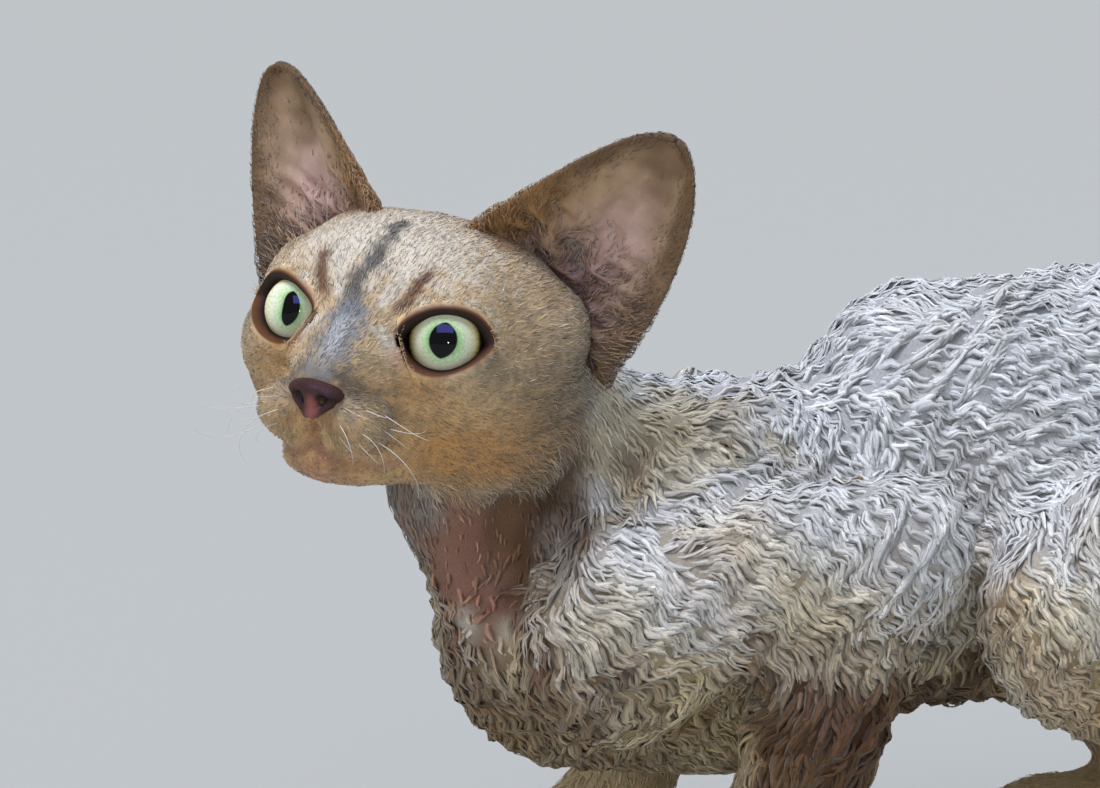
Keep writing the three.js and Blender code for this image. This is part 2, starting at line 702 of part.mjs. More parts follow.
// The trunk and limbs, drawn on wider lines where the clumps cover them
const bodyRulers = [
  ruler(-95, 95, () => 12.5),
  ruler(-75, 275, (y) => (y < 6 || y > 225 ? 11 : 16)),
  ruler(-4, 205, (z) => (z < 52 ? 9 : 13.5)),
];
const whole = coated(drawField(flesh, bodyRulers));
let trunk = parted(whole, neckCut.point, neckCut.direction)[1];
for (const [name, side] of [["left", 1], ["right", -1]]) {
  const lift = (outline, near) => {
    const limb = trunk.intersect(solidOf(sidePrism(outline, near, side)));
    trunk = trunk.subtract(solidOf(sidePrism(outline, near, side, GAP)));
    return limb;
  };
  const part = (solid, { point, direction }) => {
    const s = side > 0 ? (v) => v : mirrored;
    return parted(solid, s(point), s(direction));
  };
  const paw = (low, high, cut) => {
    const [a, b] = side > 0 ? [low, high] : [mirrored(high), mirrored(low)];
    const rulers = evenly([a[0], low[1], low[2]], [b[0], high[1], high[2]], CELL.paw);
    return floorCut(part(solidOf(drawField(flesh, rulers)), cut)[0]);
  };
  const [lowerFore, upperArm] = part(lift(FORE_OUTLINE, 33), creaseCut);
  const [lowerHind, thigh] = part(lift(HIND_OUTLINE, 24), kneeCut);
  pieces.set("upper_arm_" + name, upperArm);
  pieces.set("forearm_" + name, part(lowerFore, wristCut)[1]);
  pieces.set("forepaw_" + name, paw([30, -28, -6], [74, 66, 52], wristCut));
  pieces.set("thigh_" + name, thigh);
  pieces.set("shank_" + name, part(lowerHind, heelCut)[1]);
  pieces.set("hindpaw_" + name, paw([31, 118, -6], [76, 214, 42], heelCut));
}
trunk = largest(trunk);
const [front, back] = parted(trunk, [0, 93, 100], [0, -1, -0.15]);
const [neck, chest] = parted(front, [0, 8, 118], [0.1, -0.86, 0.5]);
const [rump, belly] = parted(back, [0, 186, 110], [0, 1, 0.1]);
pieces.set("neck", neck);
pieces.set("chest", chest);
pieces.set("belly", belly);
pieces.set("rump", rump);

for (const [name, side] of [["left", 1], ["right", -1]]) {
  const ear = earSheet(EAR[name]);
  if (side < 0) flipped(ear);
  ear.applyMatrix4(headMatrix);
  pieces.set("ear_" + name, clearOf(solidOf(ear), head, neck));
  pieces.set("neck", clearOf(pieces.get("neck"), pieces.get("ear_" + name)));
  pieces.set("eye_" + name, solidOf(toEye(eyeBall(EYE.radius), side)));
}

const tailCurve = curveThrough(TAIL_PATH);
let tail = clearOf(floorCut(solidOf(tube(tailCurve, 22, 6, tailRadius))), rump);
for (const [name, at] of [["tail_tip", TAIL_CUTS[1]], ["tail_middle", TAIL_CUTS[0]]]) {
  const [piece, rest] = parted(tail, tailCurve.getPointAt(at).toArray(), tailCurve.getTangentAt(at).toArray());
  pieces.set(name, piece);
  tail = rest;
}
pieces.set("tail_base", tail);

const COAT_FINISH = { color: 0xb8aea2, roughness: 0.85 };
const FINISHES = {
  head: { color: 0xb99f84, roughness: 0.8 },
  nose: { color: 0x6e403b, roughness: 0.45 },
  eye_left: { color: 0xaec27e, roughness: 0.08 },
  eye_right: { color: 0xaec27e, roughness: 0.08 },
  ear_left: { color: 0xa98f80, roughness: 0.7 },
  ear_right: { color: 0xa98f80, roughness: 0.7 },
};
const cat = new THREE.Group();
for (const [name, solid] of pieces) {
  const finish = FINISHES[name] ?? COAT_FINISH;
  const mesh = new THREE.Mesh(
    geometryOf(largest(solid)),
    new THREE.MeshStandardMaterial({ ...finish, metalness: 0 }),
  );
  mesh.name = name;
  cat.add(mesh);
}

// The origin goes to the floor below the middle of the model's box
const box = new THREE.Box3().setFromObject(cat, true);
const middle = box.getCenter(new THREE.Vector3());
cat.position.set(-middle.x, -middle.y, 0);

export default cat;
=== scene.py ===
"""A curly-coated cat with big ears, life size, crouched and looking up over its left shoulder.

The flesh is a distance field of melted ellipsoids and tapered cones, in millimetres from a point
on the floor below the shoulders: +Z up, the chest faces -Y, and +X is the cat's left. The skin is
drawn on that field a little below the solids' surface, and the coat's wavy tufts stand on it.
"""
import json
import math

import bpy
import numpy as np
from mathutils import Matrix, Vector
from mathutils.kdtree import KDTree

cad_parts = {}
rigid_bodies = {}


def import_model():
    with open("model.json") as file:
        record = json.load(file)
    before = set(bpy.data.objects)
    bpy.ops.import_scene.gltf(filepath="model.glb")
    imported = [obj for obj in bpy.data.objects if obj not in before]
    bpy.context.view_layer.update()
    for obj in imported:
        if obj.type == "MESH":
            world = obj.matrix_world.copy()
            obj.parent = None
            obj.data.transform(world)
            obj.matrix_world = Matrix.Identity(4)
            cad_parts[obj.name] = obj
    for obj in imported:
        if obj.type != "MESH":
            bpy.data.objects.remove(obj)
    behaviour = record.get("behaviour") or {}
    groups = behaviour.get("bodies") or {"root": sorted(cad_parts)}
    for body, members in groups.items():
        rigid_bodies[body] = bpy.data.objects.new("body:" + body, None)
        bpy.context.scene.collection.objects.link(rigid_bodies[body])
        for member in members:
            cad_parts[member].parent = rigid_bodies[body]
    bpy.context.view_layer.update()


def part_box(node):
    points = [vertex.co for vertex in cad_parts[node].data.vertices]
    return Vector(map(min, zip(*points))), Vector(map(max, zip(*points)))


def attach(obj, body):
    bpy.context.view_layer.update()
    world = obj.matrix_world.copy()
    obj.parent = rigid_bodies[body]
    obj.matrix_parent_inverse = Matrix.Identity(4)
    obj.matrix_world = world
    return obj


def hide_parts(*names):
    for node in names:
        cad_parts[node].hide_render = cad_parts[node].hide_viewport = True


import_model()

bl_info = {
    "name": "Curly-coated cat",
    "version": (1, 0, 0),
    "blender": (4, 5, 0),
    "location": "View3D > Sidebar > Cat",
    "description": "Dresses the crouching cat with skin, eyes, nose, ears, whiskers, claws and coat",
    "category": "Object",
}

MM = 0.001

# Driving dimensions, in millimetres and degrees
HEAD = {"place": (15.7, -43, 167.3), "turn": 50, "lift": 6.7, "tilt": 8.2}
EYE = {"centre": (20.3, -23.6, 4.6), "radius": 11, "lid": 1.5, "width": 21.0, "height": 15.0}
GAZE = (0.3, -0.95, 0.06)
PUPIL = {"left": (0.2, 0.5), "right": (-6.2, 0.3)}  # outwards and up from the middle of the lids
EAR = {
    "inner": (15, -3.5, 33), "outer": (49.5, 8.5, 4), "cup": 15, "spread": 1.14, "lean": 5.7,
    "left": {"tip": (56.5, 4, 68), "turn": 3},
    "right": {"tip": (54.5, 12, 67), "turn": 10},
}
NOSE_TIP = (0, -55.6, -12)
ELBOW = (62, 80, 114)
WRIST = (51, 38, 30)
FORE_TOES = (51, 4, 8.2)
HIP = (34, 204, 124)
KNEE = (60, 122, 90)
HOCK = (52, 221, 21)
HIND_TOES = (53, 148, 8.2)
TAIL_PATH = (
    (0, 236, 126), (3, 260, 107), (11, 284, 74), (28, 298, 38), (50, 298, 15),
    (76, 279, 7.8), (95, 246, 6.8), (104, 208, 6), (103, 172, 5),
)
TOES = ((-10.5, -7), (-3.7, -12), (3.7, -12), (10.5, -7))  # sideways, ahead
SIDES = (("left", 1), ("right", -1))
FLOOR_GAP = 0.2  # between the floor and the lowest points of the skin
IRIS_SPAN = 24.0  # how wide a piece of the eye the iris's map covers

# The camera: degrees round from the chest and up from level, metres from its aim, and its lens
# and its picture's width in pixels
CAMERA = {"turn": 73, "rise": 8, "away": 1.3, "lens": 4810, "picture": 1100}


def length(v):
    return np.sqrt((v * v).sum(-1))


def unit(v):
    v = np.asarray(v, float)
    return v / np.maximum(length(v), 1e-9)[..., None]


def smooth(x, low, high):
    """0 up to low, 1 from high on, and an even S between."""
    t = np.clip((x - low) / (high - low), 0, 1)
    return t * t * (3 - 2 * t)


def mixed(a, b, share):
    """a where the share is 0, and b where it is 1."""
    return a + (b - a) * share


def one_side(p):
    """Points of the right side as their mirror images on the left."""
    return np.stack([np.abs(p[:, 0]), p[:, 1], p[:, 2]], 1)


# Head frame: x to its left, y back, z up, and the eyes level
HEAD_AXES = np.array(
    Matrix.Rotation(math.radians(HEAD["turn"]), 3, "Z")
    @ Matrix.Rotation(math.radians(-HEAD["lift"]), 3, "X")
    @ Matrix.Rotation(math.radians(HEAD["tilt"]), 3, "Y")
)
HEAD_PLACE = np.array(HEAD["place"], float)


def to_head(p):
    return (p - HEAD_PLACE) @ HEAD_AXES


def from_head(q):
    return np.asarray(q, float) @ HEAD_AXES.T + HEAD_PLACE


# The frame's own origin is on the floor below the model's middle
LOW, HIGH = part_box("eye_left")
SHIFT = np.array((LOW + HIGH) / 2) / MM - from_head(EYE["centre"])


def in_frame(points):
    """Points of the design, in millimetres, as points of the frame, in metres."""
    return (np.asarray(points, float) + SHIFT) * MM


# Distance fields: each takes points and gives their distances from a form, negative inside
def ellipsoid(centre, radii):
    centre = np.array(centre, float)
    radii = np.array(radii, float)

    def distance(p):
        q = p - centre
        near = length(q / radii)
        return near * (near - 1) / np.maximum(length(q / radii**2), 1e-9)

    return distance


def cone(a, radius_a, b, radius_b):
    a = np.array(a, float)
    along = np.array(b, float) - a

    def distance(p):
        t = np.clip((p - a) @ along / (along @ along), 0, 1)
        return length(p - a - t[:, None] * along) - (radius_a + (radius_b - radius_a) * t)

    return distance


def muscle(a, b, wide, deep):
    a = np.array(a, float)
    b = np.array(b, float)
    long = unit(b - a)
    side = unit(np.array([1.0, 0, 0]) - long * long[0])
    axes = np.stack([side, long, np.cross(long, side)], 1)
    inner = ellipsoid((0, 0, 0), (wide, length(b - a) / 2, deep))
    return lambda p: inner((p - (a + b) / 2) @ axes)


def blend(soft, d, e):
    """The lesser of two distances, rounded where they are within `soft` of each other."""
    h = np.maximum(soft - np.abs(d - e), 0) / soft
    return np.minimum(d, e) - h * h * soft / 4


def melt(soft, *fields):
    def distance(p):
        d = fields[0](p)
        for field in fields[1:]:
            d = blend(soft, d, field(p))
        return d

    return distance


def boxed(field, low, high, margin=26):
    """A field that is only worked out near its own box, and is the distance from the box beyond."""
    low = np.array(low, float)
    high = np.array(high, float)

    def distance(p):
        d = length(np.maximum(np.maximum(low - p, p - high), 0))
        near = d < margin
        d[near] = field(p[near])
        return d

    return distance


def mirror(p):
    return np.asarray(p, float) * (-1, 1, 1)


def plus(a, b):
    return tuple(np.add(a, b))


def head_field():
    paired = []
    for side in (1, -1):
        s = (lambda p: p) if side > 0 else mirror
        paired += [
            ellipsoid(s((24, -10, -4)), (18, 24, 17)),  # cheekbone
            ellipsoid(s((27, 6, -12)), (17, 20, 19)),  # jowl
            ellipsoid(s((17, -19, 14)), (12, 12, 9)),  # brow
            cone(s((20, 2, -20)), 13, s((7, -34, -27)), 9),  # jaw
            cone(s((20, 3, 17)), 13, s((33, 6, 10)), 13.5),  # root of the ear
        ]
    skull = melt(
        12,
        ellipsoid((0, 4, 11), (32, 36, 24.5)),
        ellipsoid((0, -12, 13), (25, 20, 17)),
        ellipsoid((0, -28, -10), (19, 20, 18)),
        cone((0, -26, 4), 9, (0, -49, -9), 7.5),  # bridge of the nose
        *paired,
    )
    pads = [ellipsoid((x, -45, -18), (10, 10, 8.5)) for x in (8.5, -8.5)]
    chin = ellipsoid((0, -42, -29), (9, 9, 7))
    return melt(4, skull, *pads, chin)


def trunk_field():
    trunk = melt(
        16,
        ellipsoid((0, 52, 98), (44, 75, 50)),  # ribs
        cone((0, 5, 81), 34, (0, 60, 82), 37),  # breast
        cone((0, 34, 126), 22, (0, 62, 130), 23),  # withers
        cone((0, 106, 149), 30, (0, 160, 148), 31),  # arched loin
        ellipsoid((0, 130, 112), (45, 74, 55)),  # belly
        cone((0, 165, 146), 31, (0, 222, 126), 28),  # croup
        ellipsoid((0, 200, 112), (40, 52, 46)),  # haunches
        cone((0, 232, 126), 15, (2, 252, 110), 11),  # root of the tail
    )
    neck = melt(
        12,
        cone((12, -24, 152), 25, (0, 26, 120), 32),
        cone((9, -28, 128), 20, (0, -2, 98), 31),  # throat
    )
    return melt(14, trunk, neck)


def paw_field(toes, back):
    forms = [ellipsoid(plus(toes, (0, 4, 0)), (14, 15, 9.5))]
    forms += [ellipsoid(plus(toes, (x, ahead, -1.5)), (5, 10, 7.6)) for x, ahead in TOES]
    forms.append(cone(plus(toes, back), 10.5, toes, 9))
    return melt(3, *forms)


def fore_field():
    limb = melt(
        14,
        muscle((24, 62, 146), (44, -4, 80), 15, 26),  # shoulder blade
        muscle((42, -14, 86), (65, 97, 122), 19, 26),  # upper arm
        ellipsoid((42, 6, 88), (18, 26, 28)),  # point of the shoulder
        cone(ELBOW, 17, (56, 56, 62), 17),  # forearm
        cone((56, 58, 66), 15, WRIST, 11),
        cone(WRIST, 11, (51, 14, 14), 10.5),  # carpus
    )
    return melt(8, limb, paw_field(FORE_TOES, (0, 12, 5)))


def hind_field():
    limb = melt(
        10,
        muscle((36, 241, 130), (60, 102, 84), 23, 37),  # thigh
        cone(HIP, 28, KNEE, 19),
        cone((59, 130, 78), 18, (53, 200, 34), 10.5),  # shank
        cone((53, 196, 36), 10, HOCK, 9.5),
        cone(HOCK, 10, (53, 166, 11.5), 10),  # metatarsus
    )
    return melt(8, limb, paw_field(HIND_TOES, (0, 20, 2)))


def curve_through(points, count):
    """Points evenly spaced on a smooth curve through the given ones."""
    points = np.array(points, float)
    ends = [2 * points[0] - points[1], 2 * points[-1] - points[-2]]
    knots = np.vstack([ends[0], points, ends[1]])
    fine = []
    for i in range(1, len(knots) - 2):
        a, b, c, d = knots[i - 1 : i + 3]
        for t in np.linspace(0, 1, 24, endpoint=False):
            fine.append(
                0.5 * (2 * b + (c - a) * t + (2 * a - 5 * b + 4 * c - d) * t**2
                       + (3 * b - a - 3 * c + d) * t**3)
            )
    fine = np.array(fine + [points[-1]])
    run = np.concatenate([[0], np.cumsum(length(np.diff(fine, axis=0)))])
    even = np.linspace(0, run[-1], count)
    return np.stack([np.interp(even, run, fine[:, axis]) for axis in range(3)], 1)


def tail_radius(t):
    return (11 - 5.4 * t) * math.sqrt(min(1, (1.004 - t) * 14))


def tail_field(steps=22):
    line = curve_through(TAIL_PATH, steps + 1)
    radii = [tail_radius(i / steps) for i in range(steps + 1)]
    parts = [cone(line[i], radii[i], line[i + 1], radii[i + 1]) for i in range(steps)]
    return lambda p: np.min([part(p) for part in parts], axis=0)


FIELDS = {
    "head": boxed(head_field(), (-46, -58, -38), (46, 42, 38)),
    "trunk": boxed(trunk_field(), (-48, -54, 42), (48, 262, 184)),
    "fore": boxed(fore_field(), (12, -44, 0), (86, 116, 166)),
    "hind": boxed(hind_field(), (10, 84, 0), (88, 254, 170)),
    "tail": boxed(tail_field(), (-12, 226, 0), (112, 310, 136)),
}
TAIL_LINE = curve_through(TAIL_PATH, 40)


def parts_of_flesh(p):
    """Distances from the head, trunk, fore limbs, hind limbs and tail."""
    folded = one_side(p)
    return {
        "head": FIELDS["head"](to_head(p)),
        "trunk": FIELDS["trunk"](p),
        "fore": FIELDS["fore"](folded),
        "hind": FIELDS["hind"](folded),
        "tail": FIELDS["tail"](p),
    }


def nearest_part(p):
    """The name of the part of the flesh that each point belongs to."""
    parts = parts_of_flesh(p)
    return np.array(list(parts))[np.stack(list(parts.values()), 1).argmin(1)]


def ripple(p, period, seed, waves=7):
    """Smooth seeded noise of about unit size, from a few crossing waves."""
    draw = np.random.default_rng(seed)
    ways = unit(draw.normal(size=(waves, 3))) * (2 * math.pi / period)
    ways *= draw.uniform(0.6, 1.5, (waves, 1))
    return np.sin(p @ ways.T + draw.uniform(0, 2 * math.pi, waves)).sum(1) / math.sqrt(waves / 2)


def long_coat(p):
    """Where the waved coat grows: 1 on the trunk and upper limbs, 0 on the head and feet."""
    return smooth(length(p - HEAD_PLACE), 52, 76) * smooth(p[:, 2], 40, 66)


CORNERS = np.array([(x, y, z) for x in (-1, 1) for y in (-1, 1) for z in (-1, 1) if x * y * z > 0])


def slope_and_value(field, p, step=0.25):
    """The field's slope and value at points, from four places around each."""
    around = (p[:, None, :] + CORNERS * step).reshape(-1, 3)
    values = field(around).reshape(-1, 4)
    return values @ CORNERS / (4 * step), values.mean(1)


def drawn_to(field, p, reach, steps=2, level=0.0):
    """Points moved onto the field's surface, or to a level above it, and the normals there."""
    for _ in range(steps):
        slope, value = slope_and_value(field, p)
        step = (value - level) / np.maximum((slope * slope).sum(1), 0.2)
        p = p - slope * np.clip(step, -reach, reach)[:, None]
    return p, unit(slope)


# Eyes
def eye_centre(side):
    """The middle of the left eye, or of the right one where side is -1, in the head frame."""
    return np.array(EYE["centre"]) * (side, 1, 1)


def eye_axes(side):
    """Rows: across to the outer corner, up, and ahead, of one eye in the head frame."""
    ahead = unit(GAZE) * (side, 1, 1)
    across = unit(np.cross((0, 0, 1), ahead))
    return np.stack([across, np.cross(ahead, across), ahead])


def eye_frame(q, side):
    """Points of the head frame as places outwards, up and ahead of the middle of an eye."""
    local = (q - eye_centre(side)) @ eye_axes(side).T
    return local * (side, 1, 1)  # the right eye's own across points inwards


def almond(across):
    """Height of the lids' upper and lower edges over a place across the eye."""
    w = EYE["width"] / 2
    h = EYE["height"] / 2
    a = np.clip(across / w, -1, 1)
    tilt = 1.2 * a - 0.3  # the outer corner is the higher one
    upper = h * np.maximum(1 - np.abs(a - 0.05 * (1 - a * a)) ** 2.2, 0) ** 0.66
    lower = -h * np.maximum(1 - np.abs(a) ** 2.0, 0) ** 0.68
    return upper + tilt, lower + tilt


def opening(local):
    """How far a point is inside the almond between the lids, about in millimetres."""
    upper, lower = almond(local[:, 0])
    w = EYE["width"] / 2
    inside = np.minimum(upper - local[:, 1], local[:, 1] - lower)
    return np.minimum(inside, w - np.abs(local[:, 0]))


def near_line(q, line):
    """Distance from a line of points, and how far along it the nearest point is, 0 to 1."""
    best = np.full(len(q), 1e9)
    place = np.zeros(len(q))
    for i in range(len(line) - 1):
        along = line[i + 1] - line[i]
        t = np.clip((q - line[i]) @ along / (along @ along), 0, 1)
        d = length(q - line[i] - t[:, None] * along)
        closer = d < best
        best = np.where(closer, d, best)
        place = np.where(closer, (i + t) / (len(line) - 1), place)
    return best, place


# The line of the mouth, from the cleft under the nose to the corner, in the head frame
MOUTH, _ = drawn_to(
    FIELDS["head"],
    curve_through(
        ((0, -52, -22), (0.6, -50, -26), (4, -49.7, -28.3), (8.4, -45.7, -29.3), (13, -40.2, -29.3),
         (17, -34.6, -27.6), (21, -28, -25)), 26,
    ),
    7, steps=3,
)


def near_mouth(q):
    """Distance from the line of the mouth, little changed by how deep a point lies."""
    flatter = np.array((1, 0.3, 1))
    return near_line(one_side(q) * flatter, MOUTH * flatter)


# Folds of loose skin on the turned neck and the throat: their line, height and half width
FOLDS = (
    (((36, -21, 133), (28, -21, 121), (28, -21, 111), (31, -20, 100), (42, -19, 88)), -6.5, 4.2),
    (((34, 4, 142), (32, -6, 127), (36, -12, 111), (48, -15, 99)), -3.0, 3.4),
    (((31, 16, 145), (35, 12, 131), (46, 5, 119)), -3.4, 3.2),
    (((28, 28, 142), (34, 26, 130), (44, 22, 122)), -2.4, 3.0),
    (((27, -36, 126), (21, -31, 110), (18, -25, 93), (22, -19, 76)), 2.6, 3.2),
    (((20, -42, 121), (11, -34, 103), (13, -28, 86)), 1.6, 3.0),
    (((-30, 0, 142), (-33, 2, 126), (-38, 0, 108)), -3.4, 3.4),
    (((-22, -22, 128), (-24, -20, 110), (-28, -20, 94)), -3.6, 3.4),
    (((44, 90, 84), (40, 92, 72), (36, 94, 60)), -2.6, 2.6),
    (((42, 99, 86), (39, 101, 72), (34, 103, 58)), -2.8, 2.6),
    (((-44, 90, 84), (-40, 92, 72), (-36, 94, 60)), -2.6, 2.6),
    (((-42, 99, 86), (-39, 101, 72), (-34, 103, 58)), -2.8, 2.6),
)
FOLD_LINES = [(curve_through(line, 14), high, wide) for line, high, wide in FOLDS]


def folds(p):
    """How far the folds raise the skin at points, or sink it where they are below 0."""
    total = np.zeros(len(p))
    for line, high, wide in FOLD_LINES:
        low = line.min(0) - 3 * wide
        near = ((p > low) & (p < line.max(0) + 3 * wide)).all(1)
        d, place = near_line(p[near], line)
        ends = smooth(place, 0, 0.25) * (1 - smooth(place, 0.75, 1))
        total[near] += high * ends * np.exp(-((d / wide) ** 2))
    return total


def bareness(p):
    """Where the skin shows through a sparse coat: the throat and the fold of the flank."""
    throat = length((p - np.array((24, -26, 108))) / (20, 16, 30))
    flank = length((one_side(p) - np.array((40, 96, 66))) / (14, 18, 22))
    return 1 - smooth(np.minimum(throat, flank), 0.6, 1.15)


def face_relief(q):
    """Carving of the face, in the head frame: the mouth, the lips and the cleft."""
    d, place = near_mouth(q)
    depth = 2.6 * np.sin(math.pi * np.clip(0.2 + 0.74 * place, 0, 1))
    groove = -depth * np.exp(-((d / 1.25) ** 2))
    lips = 0.9 * np.exp(-(((d - 3.4) / 1.6) ** 2)) * (1 - place)
    cleft = np.exp(-((q[:, 0] / 1.0) ** 2)) * smooth(-q[:, 1], 44, 52)
    cleft = -1.6 * cleft * smooth(q[:, 2], -25, -22) * (1 - smooth(q[:, 2], -18, -14))
    pad = one_side(q) - np.array((11, -49, -20.5))
    pads = 1.6 * np.exp(-((length(pad / (1.15, 1.2, 0.85)) / 7) ** 4)) * smooth(d, 0.5, 4)
    above = one_side(q) - np.array((14, -44, -10))
    crease = -0.8 * np.exp(-((above[:, 2] - 0.3 * above[:, 0]) / 1.8) ** 2 - (above[:, 0] / 8) ** 2)
    return groove + lips + cleft + pads + crease


def skin(p, sockets=True):
    """Distance from the skin, which lies below the coat by the coat's depth."""
    parts = parts_of_flesh(p)
    q = to_head(p)
    head = parts["head"]
    for side in (1, -1):
        ball = length(q - eye_centre(side)) - EYE["radius"] - EYE["lid"]
        head = blend(7, head, ball)
    trunk = parts["trunk"]
    whole = np.minimum(blend(16, trunk, parts["fore"]), blend(16, trunk, parts["hind"]))
    whole = np.minimum(whole, blend(11, trunk, head))
    whole = blend(9, whole, parts["tail"])
    depth = 0.7 + 2.1 * long_coat(p)
    d = whole + depth
    close = np.abs(d) < 6
    relief = folds(p[close]) + 0.5 * long_coat(p[close]) * ripple(p[close], 26, 5)
    d[close] -= relief
    face = (np.abs(d) < 6) & (q[:, 1] < -15) & (length(q) < 70)
    d[face] -= face_relief(q[face])
    for side in (1, -1) if sockets else ():
        near = np.abs(q - eye_centre(side)).max(1) < 16
        local = eye_frame(q[near], side)
        hole = opening(local)
        ball = length(local) - EYE["radius"]
        socket = np.minimum(hole + 2.1, 5 - np.abs(ball))
        socket = np.where(local[:, 2] > 0, socket, -4)
        d[near] = -blend(1.2, -d[near], -socket)
    return d


def surface_net(field, low, high, step, coarse=3):
    """Points and quads of a field's surface, one point in each cell that the surface crosses."""
    axes = [np.arange(a, b + step * coarse, step) for a, b in zip(low, high)]
    shape = [len(axis) // coarse * coarse for axis in axes]
    axes = [axis[:n] for axis, n in zip(axes, shape)]
    rough_axes = [axis[::coarse] for axis in axes]
    rough = field(np.stack(np.meshgrid(*rough_axes, indexing="ij"), -1).reshape(-1, 3))
    value = rough.reshape([len(axis) for axis in rough_axes])
    for axis in range(3):
        value = np.repeat(value, coarse, axis)
    band = np.argwhere(np.abs(value) < step * coarse * 1.9)
    place = np.stack([axes[axis][band[:, axis]] for axis in range(3)], 1)
    value[tuple(band.T)] = field(place)
    inside = value < 0
    size = np.array(value.shape) - 1
    corners = [(i, j, k) for i in (0, 1) for j in (0, 1) for k in (0, 1)]
    count = sum(
        inside[i : i + size[0], j : j + size[1], k : k + size[2]].astype(int) for i, j, k in corners
    )
    crossed = (count > 0) & (count < 8)
    cells = np.argwhere(crossed)
    number = np.full(crossed.shape, -1)
    number[crossed] = np.arange(len(cells))
    total = np.zeros((len(cells), 3))
    crossings = np.zeros(len(cells))
    for corner in corners:
        for axis in range(3):
            if corner[axis]:
                continue
            end = np.array(corner)
            end[axis] = 1
            a = value[tuple((cells + corner).T)]
            b = value[tuple((cells + end).T)]
            cut = (a < 0) != (b < 0)
            t = np.where(cut, a / np.where(cut, a - b, 1), 0)
            spot = np.array(corner) + t[:, None] * (end - np.array(corner))
            total += np.where(cut[:, None], spot, 0)
            crossings += cut
    first = np.array([axis[0] for axis in axes])
    points = first + (cells + total / crossings[:, None]) * step
    quads = []
    for axis in range(3):
        ahead = [slice(None)] * 3
        behind = [slice(None)] * 3
        ahead[axis] = slice(1, None)
        behind[axis] = slice(None, -1)
        here = inside[tuple(behind)]
        edges = np.argwhere(here != inside[tuple(ahead)])
        u = (axis + 1) % 3
        w = (axis + 2) % 3
        edges = edges[(edges[:, u] > 0) & (edges[:, w] > 0)]
        edges = edges[(edges[:, u] < size[u]) & (edges[:, w] < size[w])]
        ring = []
        for m, n in ((0, 0), (1, 0), (1, 1), (0, 1)):
            cell = edges.copy()
            cell[:, u] -= m
            cell[:, w] -= n
            ring.append(number[tuple(cell.T)])
        ring = np.stack(ring, 1)
        leaving = here[tuple(edges.T)]
        quads.append(np.where(leaving[:, None], ring, ring[:, ::-1]))
    return points, np.vstack(quads)


# Colours
def linear(code):
    """An sRGB hex colour as linear red, green and blue."""
    channels = [int(code[i : i + 2], 16) / 255 for i in (1, 3, 5)]
    return [c / 12.92 if c <= 0.04045 else ((c + 0.055) / 1.055) ** 2.4 for c in channels]


COLOURS = {
    # Coat and face
    "silver": "#e2e6eb", "grey": "#bcb6aa", "straw": "#d8cba9", "shade_dusk": "#5d4227",
    "fawn": "#e0c59c", "ochre": "#a07c50", "cream": "#f4ecdf", "slate": "#8f949e",
    "dark": "#5f5d5a", "brown": "#80542f", "olive": "#97896c", "umber": "#735733",
    "bare": "#9d7260", "pink": "#d9ab90", "soot": "#2b1d17", "gold": "#daac6c",
    "frost_and_highlight": "#f2f5f9",
    # Ears
    "buff": "#b79c7c", "rose": "#dcbdb6", "mauve": "#84645f", "lilac": "#d3b4ba",
    "drab": "#8d7a62", "ash": "#b0aaa0", "bark": "#6d5335", "amber": "#b88a4e",
    # Nose leather
    "liver": "#4a302e", "salmon": "#a0605a", "nostril_shade": "#120909",
}

# Markings of the face, in the head frame: middle, reach, colour and strength. Paired ones are
# on both sides.
FACE_MARKS = (
    (False, (0, -22, 28), (36, 26, 18), "cream", 0.85),  # forehead
    (True, (34, -2, -6), (17, 22, 22), "umber", 0.45),  # cheeks
    (True, (27, -22, -14), (13, 11, 9), "fawn", 0.6),
    (True, (27, -14, -24), (18, 24, 10), "gold", 0.75),  # jaw
    (True, (8, -40, 9), (6, 8, 6), "fawn", 0.8),
    (True, (20, -35, -7), (9, 8, 6), "gold", 0.5),
    (True, (35, -26, 0), (7, 9, 6), "olive", 0.6),  # ticked patch behind the eye
    (True, (9.5, -53, -14), (7, 6, 6), "slate", 0.6),  # pads
    (True, (14, -48, -19), (9, 8, 6), "grey", 0.75),
    (False, (0, -45, -33), (11, 10, 6.5), "pink", 0.85),  # chin
    (True, (10.6, -31.5, 3.2), (3, 3.5, 1.9), "soot", 0.9),  # tear duct
    (True, (20, 0, 29), (9, 9, 8), "ochre", 0.95),  # tufts at the ears' roots
    (True, (34, 2, 18), (8, 9, 8), "ochre", 0.6),
)
